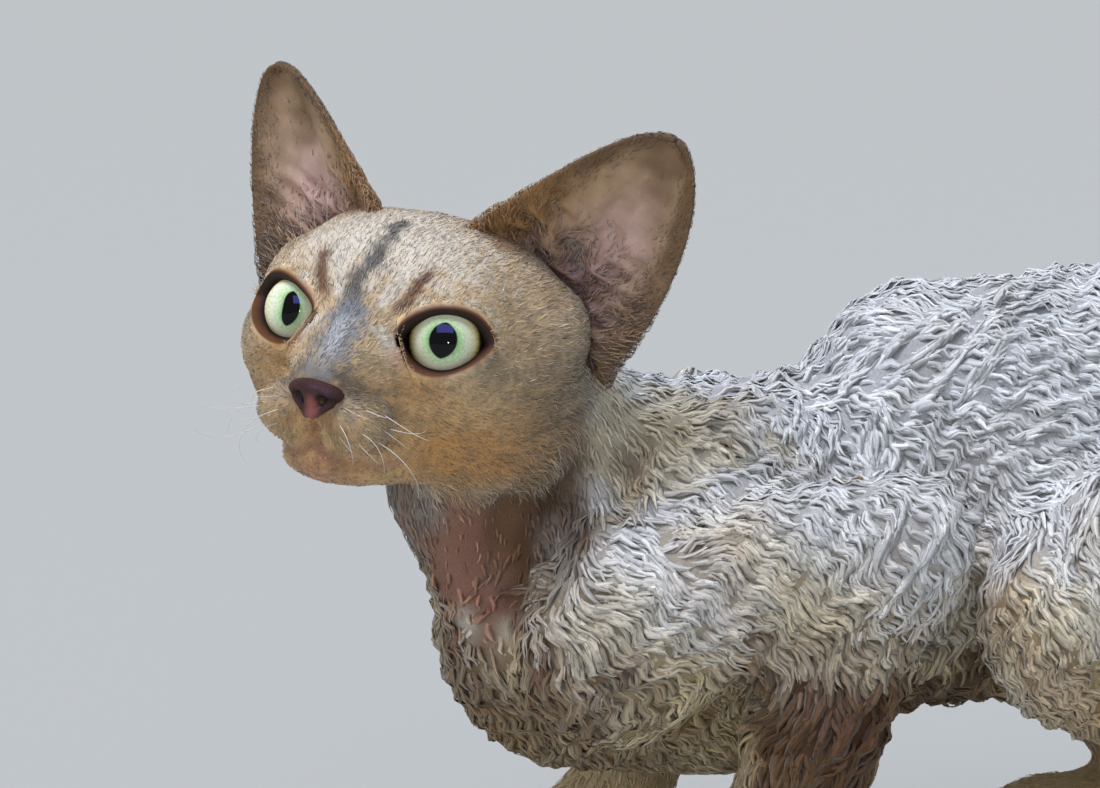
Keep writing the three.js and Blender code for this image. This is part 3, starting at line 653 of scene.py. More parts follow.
# Strokes of the face, in the head frame: line, half width, colour and strength
FACE_STROKES = (
    (True, ((8, -26, 27), (9, -33, 19), (7, -37, 13)), 2.6, "cream", 0.95),
    (True, ((15, -31, 21), (13.2, -34, 15), (10, -37, 11)), 1.7, "brown", 0.95),
    (True, ((20, -25, 22), (18, -30, 18)), 2.4, "cream", 0.9),
    (True, ((25, -20, 21), (21, -26, 19.5)), 1.5, "brown", 0.75),
    (True, ((31, -22, 12), (26, -29, 15), (17, -33, 13)), 1.9, "cream", 0.9),  # over the lid
    (True, ((10.2, -41, 5), (12, -40, 1)), 2.8, "cream", 0.95),  # pale patch by the inner corner
    (True, ((12.9, -40, 0), (14, -38, -3)), 1.8, "pink", 0.7),
    (False, ((0, -20, 31), (-0.1, -30.5, 23), (-3, -35, 15.6), (-0.8, -41, 8)), 2.8, "dark", 0.9),
    (False, ((-0.8, -41, 8), (0.2, -50, 0), (0.6, -56, -8)), 6.2, "slate", 0.95),
    (False, ((0, -44, 6), (0.4, -54, -4)), 2.4, "silver", 0.5),
    (True, ((7, -53, -7), (11, -49, -11), (17, -43, -14)), 3.4, "dark", 0.7),
    # Painted shade along the lower edge of the pads, above the mouth
    (True, ((5, -54, -19), (12, -47, -24), (18, -38, -23)), 2.2, "brown", 0.5),
)
# Markings of the body, in the design's frame. The dark ones under and behind the jaw, on the breast,
# forearms and flanks are partly painted shade
BODY_MARKS = (
    # Breast: partly its own darker colour, partly painted shade low on the chest
    ((0, -12, 70), (54, 46, 34), "umber", 0.75),  # breast
    # Painted shadow of the head under the jaw
    ((8, -40, 120), (44, 32, 34), "umber", 0.75),  # under the jaw
    # Painted shade where the arm meets the breast
    ((50, -8, 74), (20, 24, 22), "shade_dusk", 0.6),
    ((30, 12, 142), (24, 34, 22), "straw", 0.8),  # side of the neck
    ((27, 34, 148), (18, 18, 14), "olive", 0.4),
    ((-30, 12, 142), (24, 34, 22), "straw", 0.8),
    ((24, -28, 112), (18, 18, 30), "bare", 0.95),  # throat, nearly bare
    # Painted shadow of the head in the hollow behind the jaw
    ((35, -8, 132), (12, 13, 24), "shade_dusk", 0.85),  # hollow behind the jaw
    ((33, -16, 116), (9, 11, 24), "shade_dusk", 0.85),
    # Painted shadow under the jaw on the far side
    ((-32, -2, 130), (14, 16, 24), "umber", 0.6),
    # Painted shade between the arm and the thigh, over the forearm's own warm colour
    ((68, 58, 64), (26, 36, 34), "umber", 0.95),  # forearm
    ((-68, 58, 64), (26, 36, 34), "umber", 0.95),
    ((72, 62, 70), (18, 30, 22), "shade_dusk", 0.8),
    # Painted shade in the flank behind the arm, over its own warm skin
    ((20, 100, 60), (40, 26, 26), "shade_dusk", 0.85),  # flank
    ((-20, 100, 60), (40, 26, 26), "shade_dusk", 0.85),
    ((0, 120, 44), (44, 90, 16), "ochre", 0.5),  # belly
)


def tint(colour, name, share):
    """Colours moved towards one of COLOURS, by a share at each point."""
    return mixed(colour, np.array(linear(COLOURS[name])), share[:, None])


def face_marking(q):
    """The colour of the head's fur at points of the head frame."""
    face = np.tile(linear(COLOURS["fawn"]), (len(q), 1))
    face = tint(face, "grey", 0.6 * smooth(q[:, 1], -18, 16))
    wobble = 1 + 0.16 * ripple(q, 6, 9)
    for paired, middle, reach, name, strength in FACE_MARKS:
        local = one_side(q) if paired else q
        near = length((local - np.array(middle)) / np.array(reach)) * wobble
        face = tint(face, name, strength * (1 - smooth(near, 0.45, 1.15)))
    for paired, line, wide, name, strength in FACE_STROKES:
        near, _ = near_line(one_side(q) if paired else q, np.array(line, float))
        near = near + 0.2 * wide * ripple(q, 3.5, 11)
        face = tint(face, name, strength * (1 - smooth(near, 0.3 * wide, 1.5 * wide)))
    mottled = 0.4 * np.clip(ripple(q, 8, 12, waves=11) - 0.1, 0, 1) * smooth(-q[:, 2], -8, 4)
    face = tint(face, "olive", mottled)
    ticking = np.clip(ripple(q, 2.2, 10, waves=11) - 0.6, 0, 1) * 0.4
    face = tint(face, "dark", ticking)
    warm = smooth(-q[:, 2], 0, 16)[:, None]
    face = face * mixed(np.ones(3), np.array((1.04, 0.9, 0.7)), warm)
    # The lips are pink. The soot along the mouth's line is painted shade in its crease
    lips, _ = near_mouth(q)
    lip = tint(np.array(linear(COLOURS["pink"])), "soot", np.exp(-((lips / 1.0) ** 2)))
    on_lips = 0.85 * np.exp(-((lips / 1.5) ** 2)) * (1 - smooth(q[:, 1], -34, -26))
    return mixed(face, lip, on_lips[:, None])


def marking(p):
    """The coat's colour at points, the same for skin and tufts, with painted light and shade mixed into it.
    """
    # Silver above, straw and ochre below: partly the coat's own colour, partly painted light, cool and pale
    # on the top of the body and warm low down where shade falls
    height = smooth(p[:, 2] + 10 * ripple(p, 40, 20), 58, 134)
    colour = np.tile(linear(COLOURS["straw"]), (len(p), 1))
    colour = tint(colour, "silver", height)
    drift = 0.5 + 0.5 * np.tanh(1.6 * ripple(p, 30, 21))
    colour = tint(colour, "ochre", 0.5 * drift * (1 - 0.8 * height))
    paws = 1 - smooth(p[:, 2], 24, 58)
    colour = tint(colour, "fawn", 0.45 * paws)
    wobble = 1 + 0.2 * ripple(p, 13, 8)
    for middle, reach, name, strength in BODY_MARKS:
        near = length((p - np.array(middle)) / np.array(reach)) * wobble
        colour = tint(colour, name, strength * (1 - smooth(near, 0.35, 1.15)))
    # Painted shade in the sunken folds of the skin
    colour = tint(colour, "umber", 0.7 * np.clip(-folds(p) / 4, 0, 1))
    parts = parts_of_flesh(p)
    on_head = 1 - smooth(length(p - HEAD_PLACE), 60, 76)
    on_head = on_head * smooth(parts["trunk"] - parts["head"], -9, 8)
    near_head = on_head > 0
    face = face_marking(to_head(p)[near_head])
    colour[near_head] = mixed(colour[near_head], face, on_head[near_head][:, None])
    return colour


# Meshes and pieces
def clear_selection():
    for piece in bpy.context.selected_objects:
        piece.select_set(False)


def mesh_from(name, points, faces):
    """A mesh from points in millimetres and rows of corners, where -1 leaves a corner out."""
    faces = np.asarray(faces)
    used = faces >= 0
    mesh = bpy.data.meshes.new(name)
    mesh.vertices.add(len(points))
    move_points(mesh, points)
    corners = faces[used].astype(np.int32)
    mesh.loops.add(len(corners))
    mesh.loops.foreach_set("vertex_index", corners)
    sides = used.sum(1)
    mesh.polygons.add(len(faces))
    mesh.polygons.foreach_set("loop_start", (np.cumsum(sides) - sides).astype(np.int32))
    mesh.update(calc_edges=True)
    mesh.polygons.foreach_set("use_smooth", np.ones(len(faces), bool))
    return mesh


def add_piece(name, mesh, material, slot, *nodes):
    """Puts a finished mesh in the scene as a piece of the cat."""
    piece = bpy.data.objects.new(name, mesh)
    bpy.context.scene.collection.objects.link(piece)
    return finish_piece(piece, material, slot, *nodes)


def finish_piece(piece, material, slot, *nodes):
    """Gives a piece its material and its body, and hides the nodes that it stands for. The slot is not
    used.
    """
    piece.data.materials.clear()
    piece.data.materials.append(material)
    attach(piece, "root")
    if nodes:
        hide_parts(*nodes)
    return piece


def unwrap(piece, margin=0.002):
    """Gives a piece an unwrap of its own shape, which the tufts on it share."""
    clear_selection()
    piece.select_set(True)
    bpy.context.view_layer.objects.active = piece
    piece.data.uv_layers.new(name="OFBake")
    bpy.ops.object.mode_set(mode="EDIT")
    bpy.ops.mesh.select_all(action="SELECT")
    bpy.ops.uv.smart_project(angle_limit=1.15, island_margin=margin)
    bpy.ops.object.mode_set(mode="OBJECT")


def map_points(mesh, name, spots):
    """A UV map that gives each of a mesh's points one place."""
    layer = mesh.uv_layers.new(name=name)
    corners = np.zeros(len(mesh.loops), np.int32)
    mesh.loops.foreach_get("vertex_index", corners)
    layer.data.foreach_set("uv", spots[corners].astype(np.float32).ravel())


def place_of(mesh):
    """A mesh's points back in the design's frame, in millimetres."""
    points = np.zeros(len(mesh.vertices) * 3, np.float32)
    mesh.vertices.foreach_get("co", points)
    return points.reshape(-1, 3) / MM - SHIFT


def move_points(mesh, points):
    """Puts a mesh's points at places of the design, in millimetres."""
    mesh.vertices.foreach_set("co", in_frame(points).astype(np.float32).ravel())


def paint(mesh, colour):
    """Gives each point of a mesh its own colour, which the materials read as Marking."""
    layer = mesh.color_attributes.new("Marking", "FLOAT_COLOR", "POINT")
    rgba = np.ones((len(mesh.vertices), 4), np.float32)
    rgba[:, :3] = colour
    layer.data.foreach_set("color", rgba.ravel())


def set_fuzz(mesh, fuzz):
    """Gives each point of a mesh the share of down that grows there, which the fur reads."""
    layer = mesh.attributes.new("Fuzz", "FLOAT", "POINT")
    layer.data.foreach_set("value", fuzz.astype(np.float32))


# Materials
def add_node(tree, kind, settings=(), **inputs):
    """A shader node with its settings and its inputs, each a value or another node's socket."""
    node = tree.nodes.new(kind)
    for name, value in dict(settings).items():
        setattr(node, name, value)
    for name, value in inputs.items():
        key = int(name[1:]) if name[0] == "i" and name[1:].isdigit() else name.replace("_", " ")
        if isinstance(value, bpy.types.NodeSocket):
            tree.links.new(value, node.inputs[key])
        else:
            node.inputs[key].default_value = value
    return node


def new_material(name):
    """A new material, its node tree and its shader."""
    material = bpy.data.materials.new(name)
    material.use_nodes = True
    tree = material.node_tree
    shader = tree.nodes["Principled BSDF"]
    return material, tree, shader


def fur_material(name, roughness, grain_mm, strength, tone, strands=0):
    """Hair with its own colour that changes a little from lock to lock, matt with a soft sheen.

    Each tuft shows its strands as fine lines along it, coarser than single hairs so that they show: lighter
    strands and darker gaps, partly the strands' own tone and partly painted light and shade.
    """
    material, tree, shader = new_material(name)
    colour = add_node(tree, "ShaderNodeAttribute", {"attribute_name": "Marking"})
    place = add_node(tree, "ShaderNodeTexCoord")
    grain = add_node(
        tree, "ShaderNodeTexNoise",
        Vector=place.outputs["Object"], Scale=1 / (grain_mm * MM), Detail=3.0, Roughness=0.6,
    )
    shade = add_node(
        tree, "ShaderNodeMapRange",
        Value=grain.outputs["Fac"], From_Min=0.3, From_Max=0.7, To_Min=1 - tone, To_Max=1 + tone,
    )
    tinted = add_node(
        tree, "ShaderNodeMix", {"data_type": "RGBA", "blend_type": "MULTIPLY"},
        i0=1.0, i6=colour.outputs["Color"], i7=shade.outputs["Result"],
    )
    tree.links.new(tinted.outputs[2], shader.inputs["Base Color"])
    height = grain.outputs["Fac"]
    if strands:
        uv = add_node(tree, "ShaderNodeUVMap", {"uv_map": "Strand"})
        fine = add_node(
            tree, "ShaderNodeMapping", {"vector_type": "POINT"}, Vector=uv.outputs["UV"],
            Scale=(1.6 * strands, 0.7, 1),
        )
        lines = add_node(
            tree, "ShaderNodeTexNoise", Vector=fine.outputs["Vector"], Scale=1.0, Detail=2.0
        )
        # Painted light and shade across each lock: lit strands and darker gaps between them, partly the
        # strands' own tone
        strand_light_and_shade = add_node(
            tree, "ShaderNodeMapRange",
            Value=lines.outputs["Fac"], From_Min=0.35, From_Max=0.65, To_Min=0.7, To_Max=1.38,
        )
        streaked = add_node(
            tree, "ShaderNodeMix", {"data_type": "RGBA", "blend_type": "MULTIPLY"},
            i0=1.0, i6=tinted.outputs[2], i7=strand_light_and_shade.outputs["Result"],
        )
        tree.links.new(streaked.outputs[2], shader.inputs["Base Color"])
        height = lines.outputs["Fac"]
    bump = add_node(tree, "ShaderNodeBump", Strength=strength, Distance=0.4 * MM, Height=height)
    tree.links.new(bump.outputs["Normal"], shader.inputs["Normal"])
    shader.inputs["Roughness"].default_value = roughness
    shader.inputs["Specular IOR Level"].default_value = 0.25
    shader.inputs["Sheen Weight"].default_value = 0.25
    shader.inputs["Sheen Roughness"].default_value = 0.4
    shader.inputs["Sheen Tint"].default_value = (0.9, 0.95, 1.0, 1)
    return material


def eye_material():
    """A wet cornea over a pale lime iris: a greener ring by the pupil, fibres and a dark rim."""
    material, tree, shader = new_material("wet_iris")
    uv = add_node(tree, "ShaderNodeUVMap", {"uv_map": "Iris"})
    centred = add_node(
        tree, "ShaderNodeMapping", Vector=uv.outputs["UV"], Location=(-0.5, -0.5, 0)
    )
    grown = add_node(
        tree, "ShaderNodeVectorMath", {"operation": "SCALE"},
        i0=centred.outputs["Vector"], Scale=IRIS_SPAN,
    )
    parts = add_node(tree, "ShaderNodeSeparateXYZ", Vector=grown.outputs["Vector"])

    def maths(operation, a, b=0.0):
        return add_node(tree, "ShaderNodeMath", {"operation": operation}, i0=a, i1=b).outputs[0]

    # The pupil is bounded by two arcs that meet above and below, in millimetres
    half_wide = 3.3
    half_high = 4.4
    arc = (half_wide**2 + half_high**2) / (2 * half_wide)
    across = maths("ADD", maths("ABSOLUTE", parts.outputs["X"]), arc - half_wide)
    up = parts.outputs["Y"]
    slit = maths("SQRT", maths("ADD", maths("MULTIPLY", across, across), maths("MULTIPLY", up, up)))
    slit = maths("SUBTRACT", slit, arc)
    ring = add_node(tree, "ShaderNodeVectorMath", {"operation": "LENGTH"}, i0=grown.outputs["Vector"])
    spokes = add_node(
        tree, "ShaderNodeVectorMath", {"operation": "NORMALIZE"}, i0=grown.outputs["Vector"]
    )
    fibre = add_node(
        tree, "ShaderNodeTexNoise", Vector=spokes.outputs["Vector"], Scale=16.0, Detail=4.0, Roughness=0.7
    )
    speckle = add_node(
        tree, "ShaderNodeTexNoise", Vector=grown.outputs["Vector"], Scale=2.2, Detail=5.0, Roughness=0.75
    )
    texture = maths("ADD", maths("MULTIPLY", fibre.outputs["Fac"], 1.5),
                    maths("MULTIPLY", speckle.outputs["Fac"], 1.2))
    reach = maths("ADD", ring.outputs["Value"], maths("SUBTRACT", texture, 1.35))
    tones = add_node(
        tree, "ShaderNodeMapRange", Value=reach, From_Min=2.5, From_Max=11.0, To_Min=0.0, To_Max=1.0
    )
    ramp = add_node(tree, "ShaderNodeValToRGB", Fac=tones.outputs["Result"])
    stops = (
        (0.0, "#3f6a3a"), (0.1, "#84b878"), (0.26, "#cbe8bb"), (0.5, "#f2fae0"),
        (0.76, "#f4efbd"), (0.9, "#b7ad5c"), (1.0, "#2a2412"),
    )
    while len(ramp.color_ramp.elements) < len(stops):
        ramp.color_ramp.elements.new(0.5)
    for element, (place, code) in zip(ramp.color_ramp.elements, stops):
        element.position = place
        element.color = (*linear(code), 1)
    dark = add_node(
        tree, "ShaderNodeMapRange", {"interpolation_type": "SMOOTHSTEP"},
        Value=slit, From_Min=-0.12, From_Max=0.22, To_Min=1.0, To_Max=0.0,
    )
    grains = add_node(
        tree, "ShaderNodeTexNoise", Vector=grown.outputs["Vector"], Scale=1.5, Detail=4.0, Roughness=0.75
    )
    flecks = add_node(
        tree, "ShaderNodeMapRange",
        Value=grains.outputs["Fac"], From_Min=0.35, From_Max=0.65, To_Min=0.9, To_Max=1.28,
    )
    iris = add_node(
        tree, "ShaderNodeMix", {"data_type": "RGBA", "blend_type": "MULTIPLY"},
        i0=1.0, i6=ramp.outputs["Color"], i7=flecks.outputs["Result"],
    )
    colour = add_node(
        tree, "ShaderNodeMix", {"data_type": "RGBA"},
        i0=dark.outputs["Result"], i6=iris.outputs[2], i7=(0.003, 0.003, 0.004, 1),
    )
    tree.links.new(colour.outputs[2], shader.inputs["Base Color"])
    bump = add_node(tree, "ShaderNodeBump", Strength=0.25, Distance=0.2 * MM, Height=texture)
    tree.links.new(bump.outputs["Normal"], shader.inputs["Normal"])
    shader.inputs["Roughness"].default_value = 0.6
    shader.inputs["Specular IOR Level"].default_value = 0.0
    shader.inputs["Coat Weight"].default_value = 0.8
    shader.inputs["Coat Roughness"].default_value = 0.015
    shader.inputs["Coat IOR"].default_value = 1.376
    return material


def skin_material(name, roughness, grain_mm, strength, coat=0.0):
    """Bare skin with fine pores, coloured by the piece's own marking."""
    material, tree, shader = new_material(name)
    colour = add_node(tree, "ShaderNodeAttribute", {"attribute_name": "Marking"})
    place = add_node(tree, "ShaderNodeTexCoord")
    pores = add_node(
        tree, "ShaderNodeTexVoronoi", Vector=place.outputs["Object"], Scale=1 / (grain_mm * MM)
    )
    veins = add_node(
        tree, "ShaderNodeTexNoise",
        Vector=place.outputs["Object"], Scale=1 / (9 * grain_mm * MM), Detail=4.0,
    )
    shade = add_node(
        tree, "ShaderNodeMapRange",
        Value=veins.outputs["Fac"], From_Min=0.3, From_Max=0.7, To_Min=0.82, To_Max=1.15,
    )
    tinted = add_node(
        tree, "ShaderNodeMix", {"data_type": "RGBA", "blend_type": "MULTIPLY"},
        i0=1.0, i6=colour.outputs["Color"], i7=shade.outputs["Result"],
    )
    tree.links.new(tinted.outputs[2], shader.inputs["Base Color"])
    bump = add_node(
        tree, "ShaderNodeBump", Strength=strength, Distance=0.25 * MM, Height=pores.outputs["Distance"]
    )
    tree.links.new(bump.outputs["Normal"], shader.inputs["Normal"])
    shader.inputs["Roughness"].default_value = roughness
    shader.inputs["Specular IOR Level"].default_value = 0.25
    shader.inputs["Coat Weight"].default_value = coat
    shader.inputs["Coat Roughness"].default_value = 0.2
    return material


def keratin_material(name, code, roughness):
    """Smooth horny keratin, a little see-through in life, so pale and satiny."""
    material, tree, shader = new_material(name)
    place = add_node(tree, "ShaderNodeTexCoord")
    grain = add_node(
        tree, "ShaderNodeTexNoise", Vector=place.outputs["Object"], Scale=1 / (2 * MM), Detail=2.0
    )
    base = linear(code)
    ramp = add_node(tree, "ShaderNodeValToRGB", Fac=grain.outputs["Fac"])
    ramp.color_ramp.elements[0].color = (*(0.8 * c for c in base), 1)
    ramp.color_ramp.elements[1].color = (*base, 1)
    tree.links.new(ramp.outputs["Color"], shader.inputs["Base Color"])
    shader.inputs["Roughness"].default_value = roughness
    return material


# Tufts
class Ground:
    """A mesh that tufts grow on: its triangles, their areas and unwrap, and its nearest points."""

    def __init__(self, mesh):
        mesh.calc_loop_triangles()
        count = len(mesh.loop_triangles)
        corners = np.zeros(count * 3, np.int32)
        mesh.loop_triangles.foreach_get("vertices", corners)
        loops = np.zeros(count * 3, np.int32)
        mesh.loop_triangles.foreach_get("loops", loops)
        uv = np.zeros(len(mesh.loops) * 2, np.float32)
        mesh.uv_layers["OFBake"].data.foreach_get("uv", uv)
        normals = np.zeros(len(mesh.vertices) * 3, np.float32)
        mesh.vertices.foreach_get("normal", normals)
        self.normals = normals.reshape(-1, 3).astype(float)
        self.points = place_of(mesh).astype(float)
        self.corners = corners.reshape(-1, 3)
        self.uv = uv.reshape(-1, 2)[loops.reshape(-1, 3)]
        a, b, c = (self.points[self.corners[:, i]] for i in range(3))
        self.area = length(np.cross(b - a, c - a)) / 2
        self.middle = (a + b + c) / 3
        self.tree = KDTree(len(self.points))
        for i, point in enumerate(self.points):
            self.tree.insert(point, i)
        self.tree.balance()

    def below(self, p):
        """The points of the surface below some places, and the normals there."""
        nearest = np.array([self.tree.find(spot)[1] for spot in p])
        normal = self.normals[nearest]
        over = ((p - self.points[nearest]) * normal).sum(1, keepdims=True)
        return p - normal * over, normal

    def scatter(self, here, spacing, seed):
        """Places spread evenly at random where `here` is over 0, their normals and their UV."""
        draw = np.random.default_rng(seed)
        share = self.area * here
        tries = int(3.2 * share.sum() / spacing**2)
        chosen = draw.choice(len(share), tries, p=share / share.sum())
        a, b = draw.uniform(0, 1, (2, tries))
        over = a + b > 1
        a[over], b[over] = 1 - a[over], 1 - b[over]
        weights = np.stack([1 - a - b, a, b], 1)[:, :, None]
        spots = (self.points[self.corners[chosen]] * weights).sum(1)
        normals = unit((self.normals[self.corners[chosen]] * weights).sum(1))
        patch = (self.uv[chosen] * weights).sum(1)
        cells = np.floor(spots / spacing + draw.uniform(0, 1, 3)).astype(int)
        _, first = np.unique(cells, axis=0, return_index=True)
        first = np.sort(first)
        return spots[first], normals[first], patch[first]


GROUNDS = {}


def ground_of(name):
    """The ground of a piece, made once."""
    if name not in GROUNDS:
        GROUNDS[name] = Ground(bpy.data.objects[name].data)
    return GROUNDS[name]


def lie_at(p, normals):
    """The way the fur lies at points: back over the face, down and back on the body."""
    q = to_head(p)
    parts = parts_of_flesh(p)
    labels = list(parts)
    depth = np.stack([parts[name] for name in labels], 1)
    weight = np.exp(-(depth - depth.min(1, keepdims=True)) / 5)
    weight /= weight.sum(1, keepdims=True)
    ways = {}
    out_of_nose = unit(q - np.array((0, -66, -10)))
    way = out_of_nose + np.array((0, 0.25, 0))
    for side in (1, -1):
        off = q - eye_centre(side)
        way = way + 1.9 * (1 - smooth(length(off), 12, 18))[:, None] * unit(off)
    ways["head"] = way @ HEAD_AXES.T
    side = np.clip(np.abs(p[:, 0]) / 34, 0, 1)
    chest = 1 - smooth(p[:, 1], -10, 40)
    flow = np.stack([np.zeros(len(p)), 1 - 0.9 * chest, -0.15 - 0.75 * side - 0.8 * chest], 1)
    ways["trunk"] = flow
    z = p[:, 2]
    upper = smooth(z, 62, 92)[:, None]
    down_arm = np.array((0, 0.62, -0.6)) * upper + np.array((0, -0.25, -1)) * (1 - upper)
    foot = (1 - smooth(z, 20, 34))[:, None]
    ways["fore"] = mixed(down_arm, np.array((0, -1, -0.25)), foot)
    down_thigh = np.array((0, 0.3, -0.95)) * upper + np.array((0, 0.75, -0.65)) * (1 - upper)
    ways["hind"] = mixed(down_thigh, np.array((0, -1, -0.1)), foot)
    nearest = np.argmin(length(p[:, None, :] - TAIL_LINE[None]), axis=1)
    nearest = np.minimum(nearest, len(TAIL_LINE) - 2)
    ways["tail"] = unit(TAIL_LINE[nearest + 1] - TAIL_LINE[nearest])
    total = sum(unit(ways[name]) * weight[:, i : i + 1] for i, name in enumerate(labels))
    swirl = long_coat(p) * (0.42 * ripple(p, 60, 31) + 0.1 * ripple(p, 24, 32))
    flat = total - normals * (total * normals).sum(1, keepdims=True)
    flat = unit(flat)
    aside = np.cross(normals, flat)
    swirl = swirl[:, None]
    return flat * np.cos(swirl) + aside * np.sin(swirl)


def curl_at(p):
    """How far the coat's waves turn the hair aside at points, in radians.

    The crests of the waves lie across the hair, and are closer together in patches.
    """
    down = p @ unit((0.0, 0.75, -0.65))
    phase = 1.7 * ripple(p, 50, 41)
    broad = 0.55 * np.sin(2 * math.pi * down / 12.5 + phase)
    close = 0.8 * np.sin(2 * math.pi * down / 7.6 + 1.4 * phase)
    return mixed(broad, close, smooth(ripple(p, 60, 44), -0.6, 0.8))


def combed(draw, ground, roots, normals, lie, style, long, wave, rings):
    """Lines that follow the surface and the coat's waves from roots, and the ways up from them."""
    count = len(roots)
    turn = draw.normal(0, style["stray"], count)[:, None]
    heading = lie * np.cos(turn) + np.cross(normals, lie) * np.sin(turn)
    bend = draw.normal(0, style["bend"], count)
    apart = draw.normal(0, 0.5, (count, 3))
    spot = roots
    up = normals
    spots = [spot]
    ups = [up]
    for k in range(rings):
        swing = (wave * curl_at(spot + apart) + bend * k / rings)[:, None]
        way = heading * np.cos(swing) + np.cross(up, heading) * np.sin(swing)
        spot, up = ground.below(spot + way * (long / rings)[:, None])
        heading = unit(heading - up * (heading * up).sum(1, keepdims=True))
        spots.append(spot)
        ups.append(up)
    return np.stack(spots, 1), np.stack(ups, 1)


def tuft_faces(count, rings):
    """Corners of the faces of many three-sided tufts, each closed at its root and its tip."""
    each = rings * 3 + 1
    faces = [(0, 2, 1, -1)]
    for k in range(rings - 1):
        for side in range(3):
            a = 3 * k + side
            b = 3 * k + (side + 1) % 3
            faces.append((a, b, b + 3, a + 3))
    last = 3 * (rings - 1)
    faces += [(last + side, last + (side + 1) % 3, each - 1, -1) for side in range(3)]
    faces = np.array(faces)
    first = (np.arange(count) * each)[:, None, None]
    return np.where(faces[None] < 0, -1, faces[None] + first).reshape(-1, 4)


def tuft_colours(draw, roots, style, along):
    """Colours of tufts' points, darker at the root and paler at the tip.

    Where a style gives a share of frost and highlight, it makes the roots cooler and says how pale the tips
    are.
    A style without it has warm roots and pale tips all over. The darker root is partly the hair's own
    darker base and partly painted shade deep in the coat. The paler tips are partly the hair's own frosting
    and partly a painted highlight on the upper body.
    """
    count = len(roots)
    tone = draw.normal(0, 1, count)
    colour = style["colour"] if "colour" in style else marking(roots)
    colour = colour * (1 + style["tone"] * tone)[:, None]
    # Painted shade at the roots: warm, and cooler where the share of frost and highlight is high
    cool = np.broadcast_to(style.get("frost_and_highlight", 0.0), count)[:, None]
    root_shade_tint = mixed(np.array((1.0, 0.9, 0.74)), np.array((0.94, 0.96, 1.0)), cool)
    root = colour * style.get("root", 0.82) * root_shade_tint
    colour = mixed(root[:, None], colour[:, None], np.minimum(1, 1.5 * along)[None, :, None])
    # Paler tips: partly the hair's own frosting, partly a painted highlight on the upper body
    light = (style.get("tip", 0.35) * along**2)[None, :, None]
    light = light * np.broadcast_to(style.get("frost_and_highlight", 1.0), count)[:, None, None]
    return mixed(colour, np.array(linear(COLOURS["frost_and_highlight"])), light)


def tuft_mesh(name, ground, roots, normals, patch, lie, style, seed, rings):
    """One mesh of tapered three-sided tufts that follow the surface and the coat's waves."""
    draw = np.random.default_rng(seed)
    count = len(roots)
    long, wide, lift, wave = (
        np.broadcast_to(style[key], count) for key in ("long", "wide", "lift", "wave")
    )
    long = long * draw.uniform(0.75, 1.25, count)
    wide = wide * draw.uniform(0.45, 1.35, count)
    path, ups = combed(draw, ground, roots, normals, lie, style, long, wave, rings)
    t = np.linspace(0, 1, rings + 1)[None, :]
    rise = -0.5 + (lift[:, None] + 0.5) * np.minimum(1, 2.6 * t) ** 0.8
    crest = ripple(path.reshape(-1, 3), 7, 43).reshape(path.shape[:2])
    rise = rise + 0.7 * wave[:, None] * crest * smooth(t, 0, 0.4)
    rise = rise + (draw.uniform(-0.5, 0.4, count) * lift)[:, None] * t - 0.45 * lift[:, None] * t**3
    path = path + ups * rise[..., None]
    ahead = unit(np.gradient(path, axis=1))
    across = unit(np.cross(ahead, ups))
    tall = np.cross(across, ahead)
    taper = np.clip(1 - t**1.5, 0, 1) ** 0.8
    half = wide[:, None] * taper / 2
    thick = style["thick"] * half
    spin = draw.uniform(-0.4, 0.4, count)[:, None]
    rim = []
    for angle in (0.0, 2.0944, 4.1888):  # a third of a turn apart
        c = np.cos(angle + spin + math.pi / 2) * half
        s = np.sin(angle + spin + math.pi / 2) * thick
        rim.append(path[:, :-1] + across[:, :-1] * c[:, :-1, None] + tall[:, :-1] * s[:, :-1, None])
    ring_points = np.stack(rim, 2).reshape(count, rings * 3, 3)
    points = np.concatenate([ring_points, path[:, -1:]], 1)
    mesh = mesh_from(name, points.reshape(-1, 3), tuft_faces(count, rings))
    along = np.append(np.repeat(np.arange(rings) / rings, 3), 1.0)
    sideways = np.append(np.tile((0.0, -0.5, 0.5), rings), 0.0)
    spot = patch[:, None] + 0.003 * np.stack([sideways, along - 0.5], 1)[None]
    map_points(mesh, "OFBake", spot.reshape(-1, 2))
    strand = np.stack([sideways, along], 1)[None] + draw.uniform(0, 40, (count, 1, 2))
    map_points(mesh, "Strand", strand.reshape(-1, 2))
    colour = tuft_colours(draw, roots, style, along)
    paint(mesh, np.clip(colour, 0, 1).reshape(-1, 3))
    return mesh


# Pieces
class CatCoat(bpy.types.PropertyGroup):
    """Sizes of the coat."""

    long: bpy.props.FloatProperty(
        name="Length", description="Length of a waved tuft", default=0.0115, unit="LENGTH"
    )
    wide: bpy.props.FloatProperty(
        name="Width", description="Width of a waved tuft", default=0.003, unit="LENGTH"
    )
    wave: bpy.props.FloatProperty(
        name="Wave", description="How strongly the coat waves, 1 being natural", default=1.0
    )
    spacing: bpy.props.FloatProperty(
        name="Spacing", description="Distance between the roots of tufts", default=0.00214, unit="LENGTH"
    )
    face_long: bpy.props.FloatProperty(
        name="Face length", description="Length of the short fur on the face", default=0.0034, unit="LENGTH"
    )
    face_spacing: bpy.props.FloatProperty(
        name="Face spacing", description="Distance between the tufts on the face", default=0.0011,
        unit="LENGTH",
    )


class CatSkin(bpy.types.PropertyGroup):
    """Sizes of the skin's mesh."""

    cell: bpy.props.FloatProperty(
        name="Cell", description="Size of the skin's faces", default=0.002, unit="LENGTH"
    )


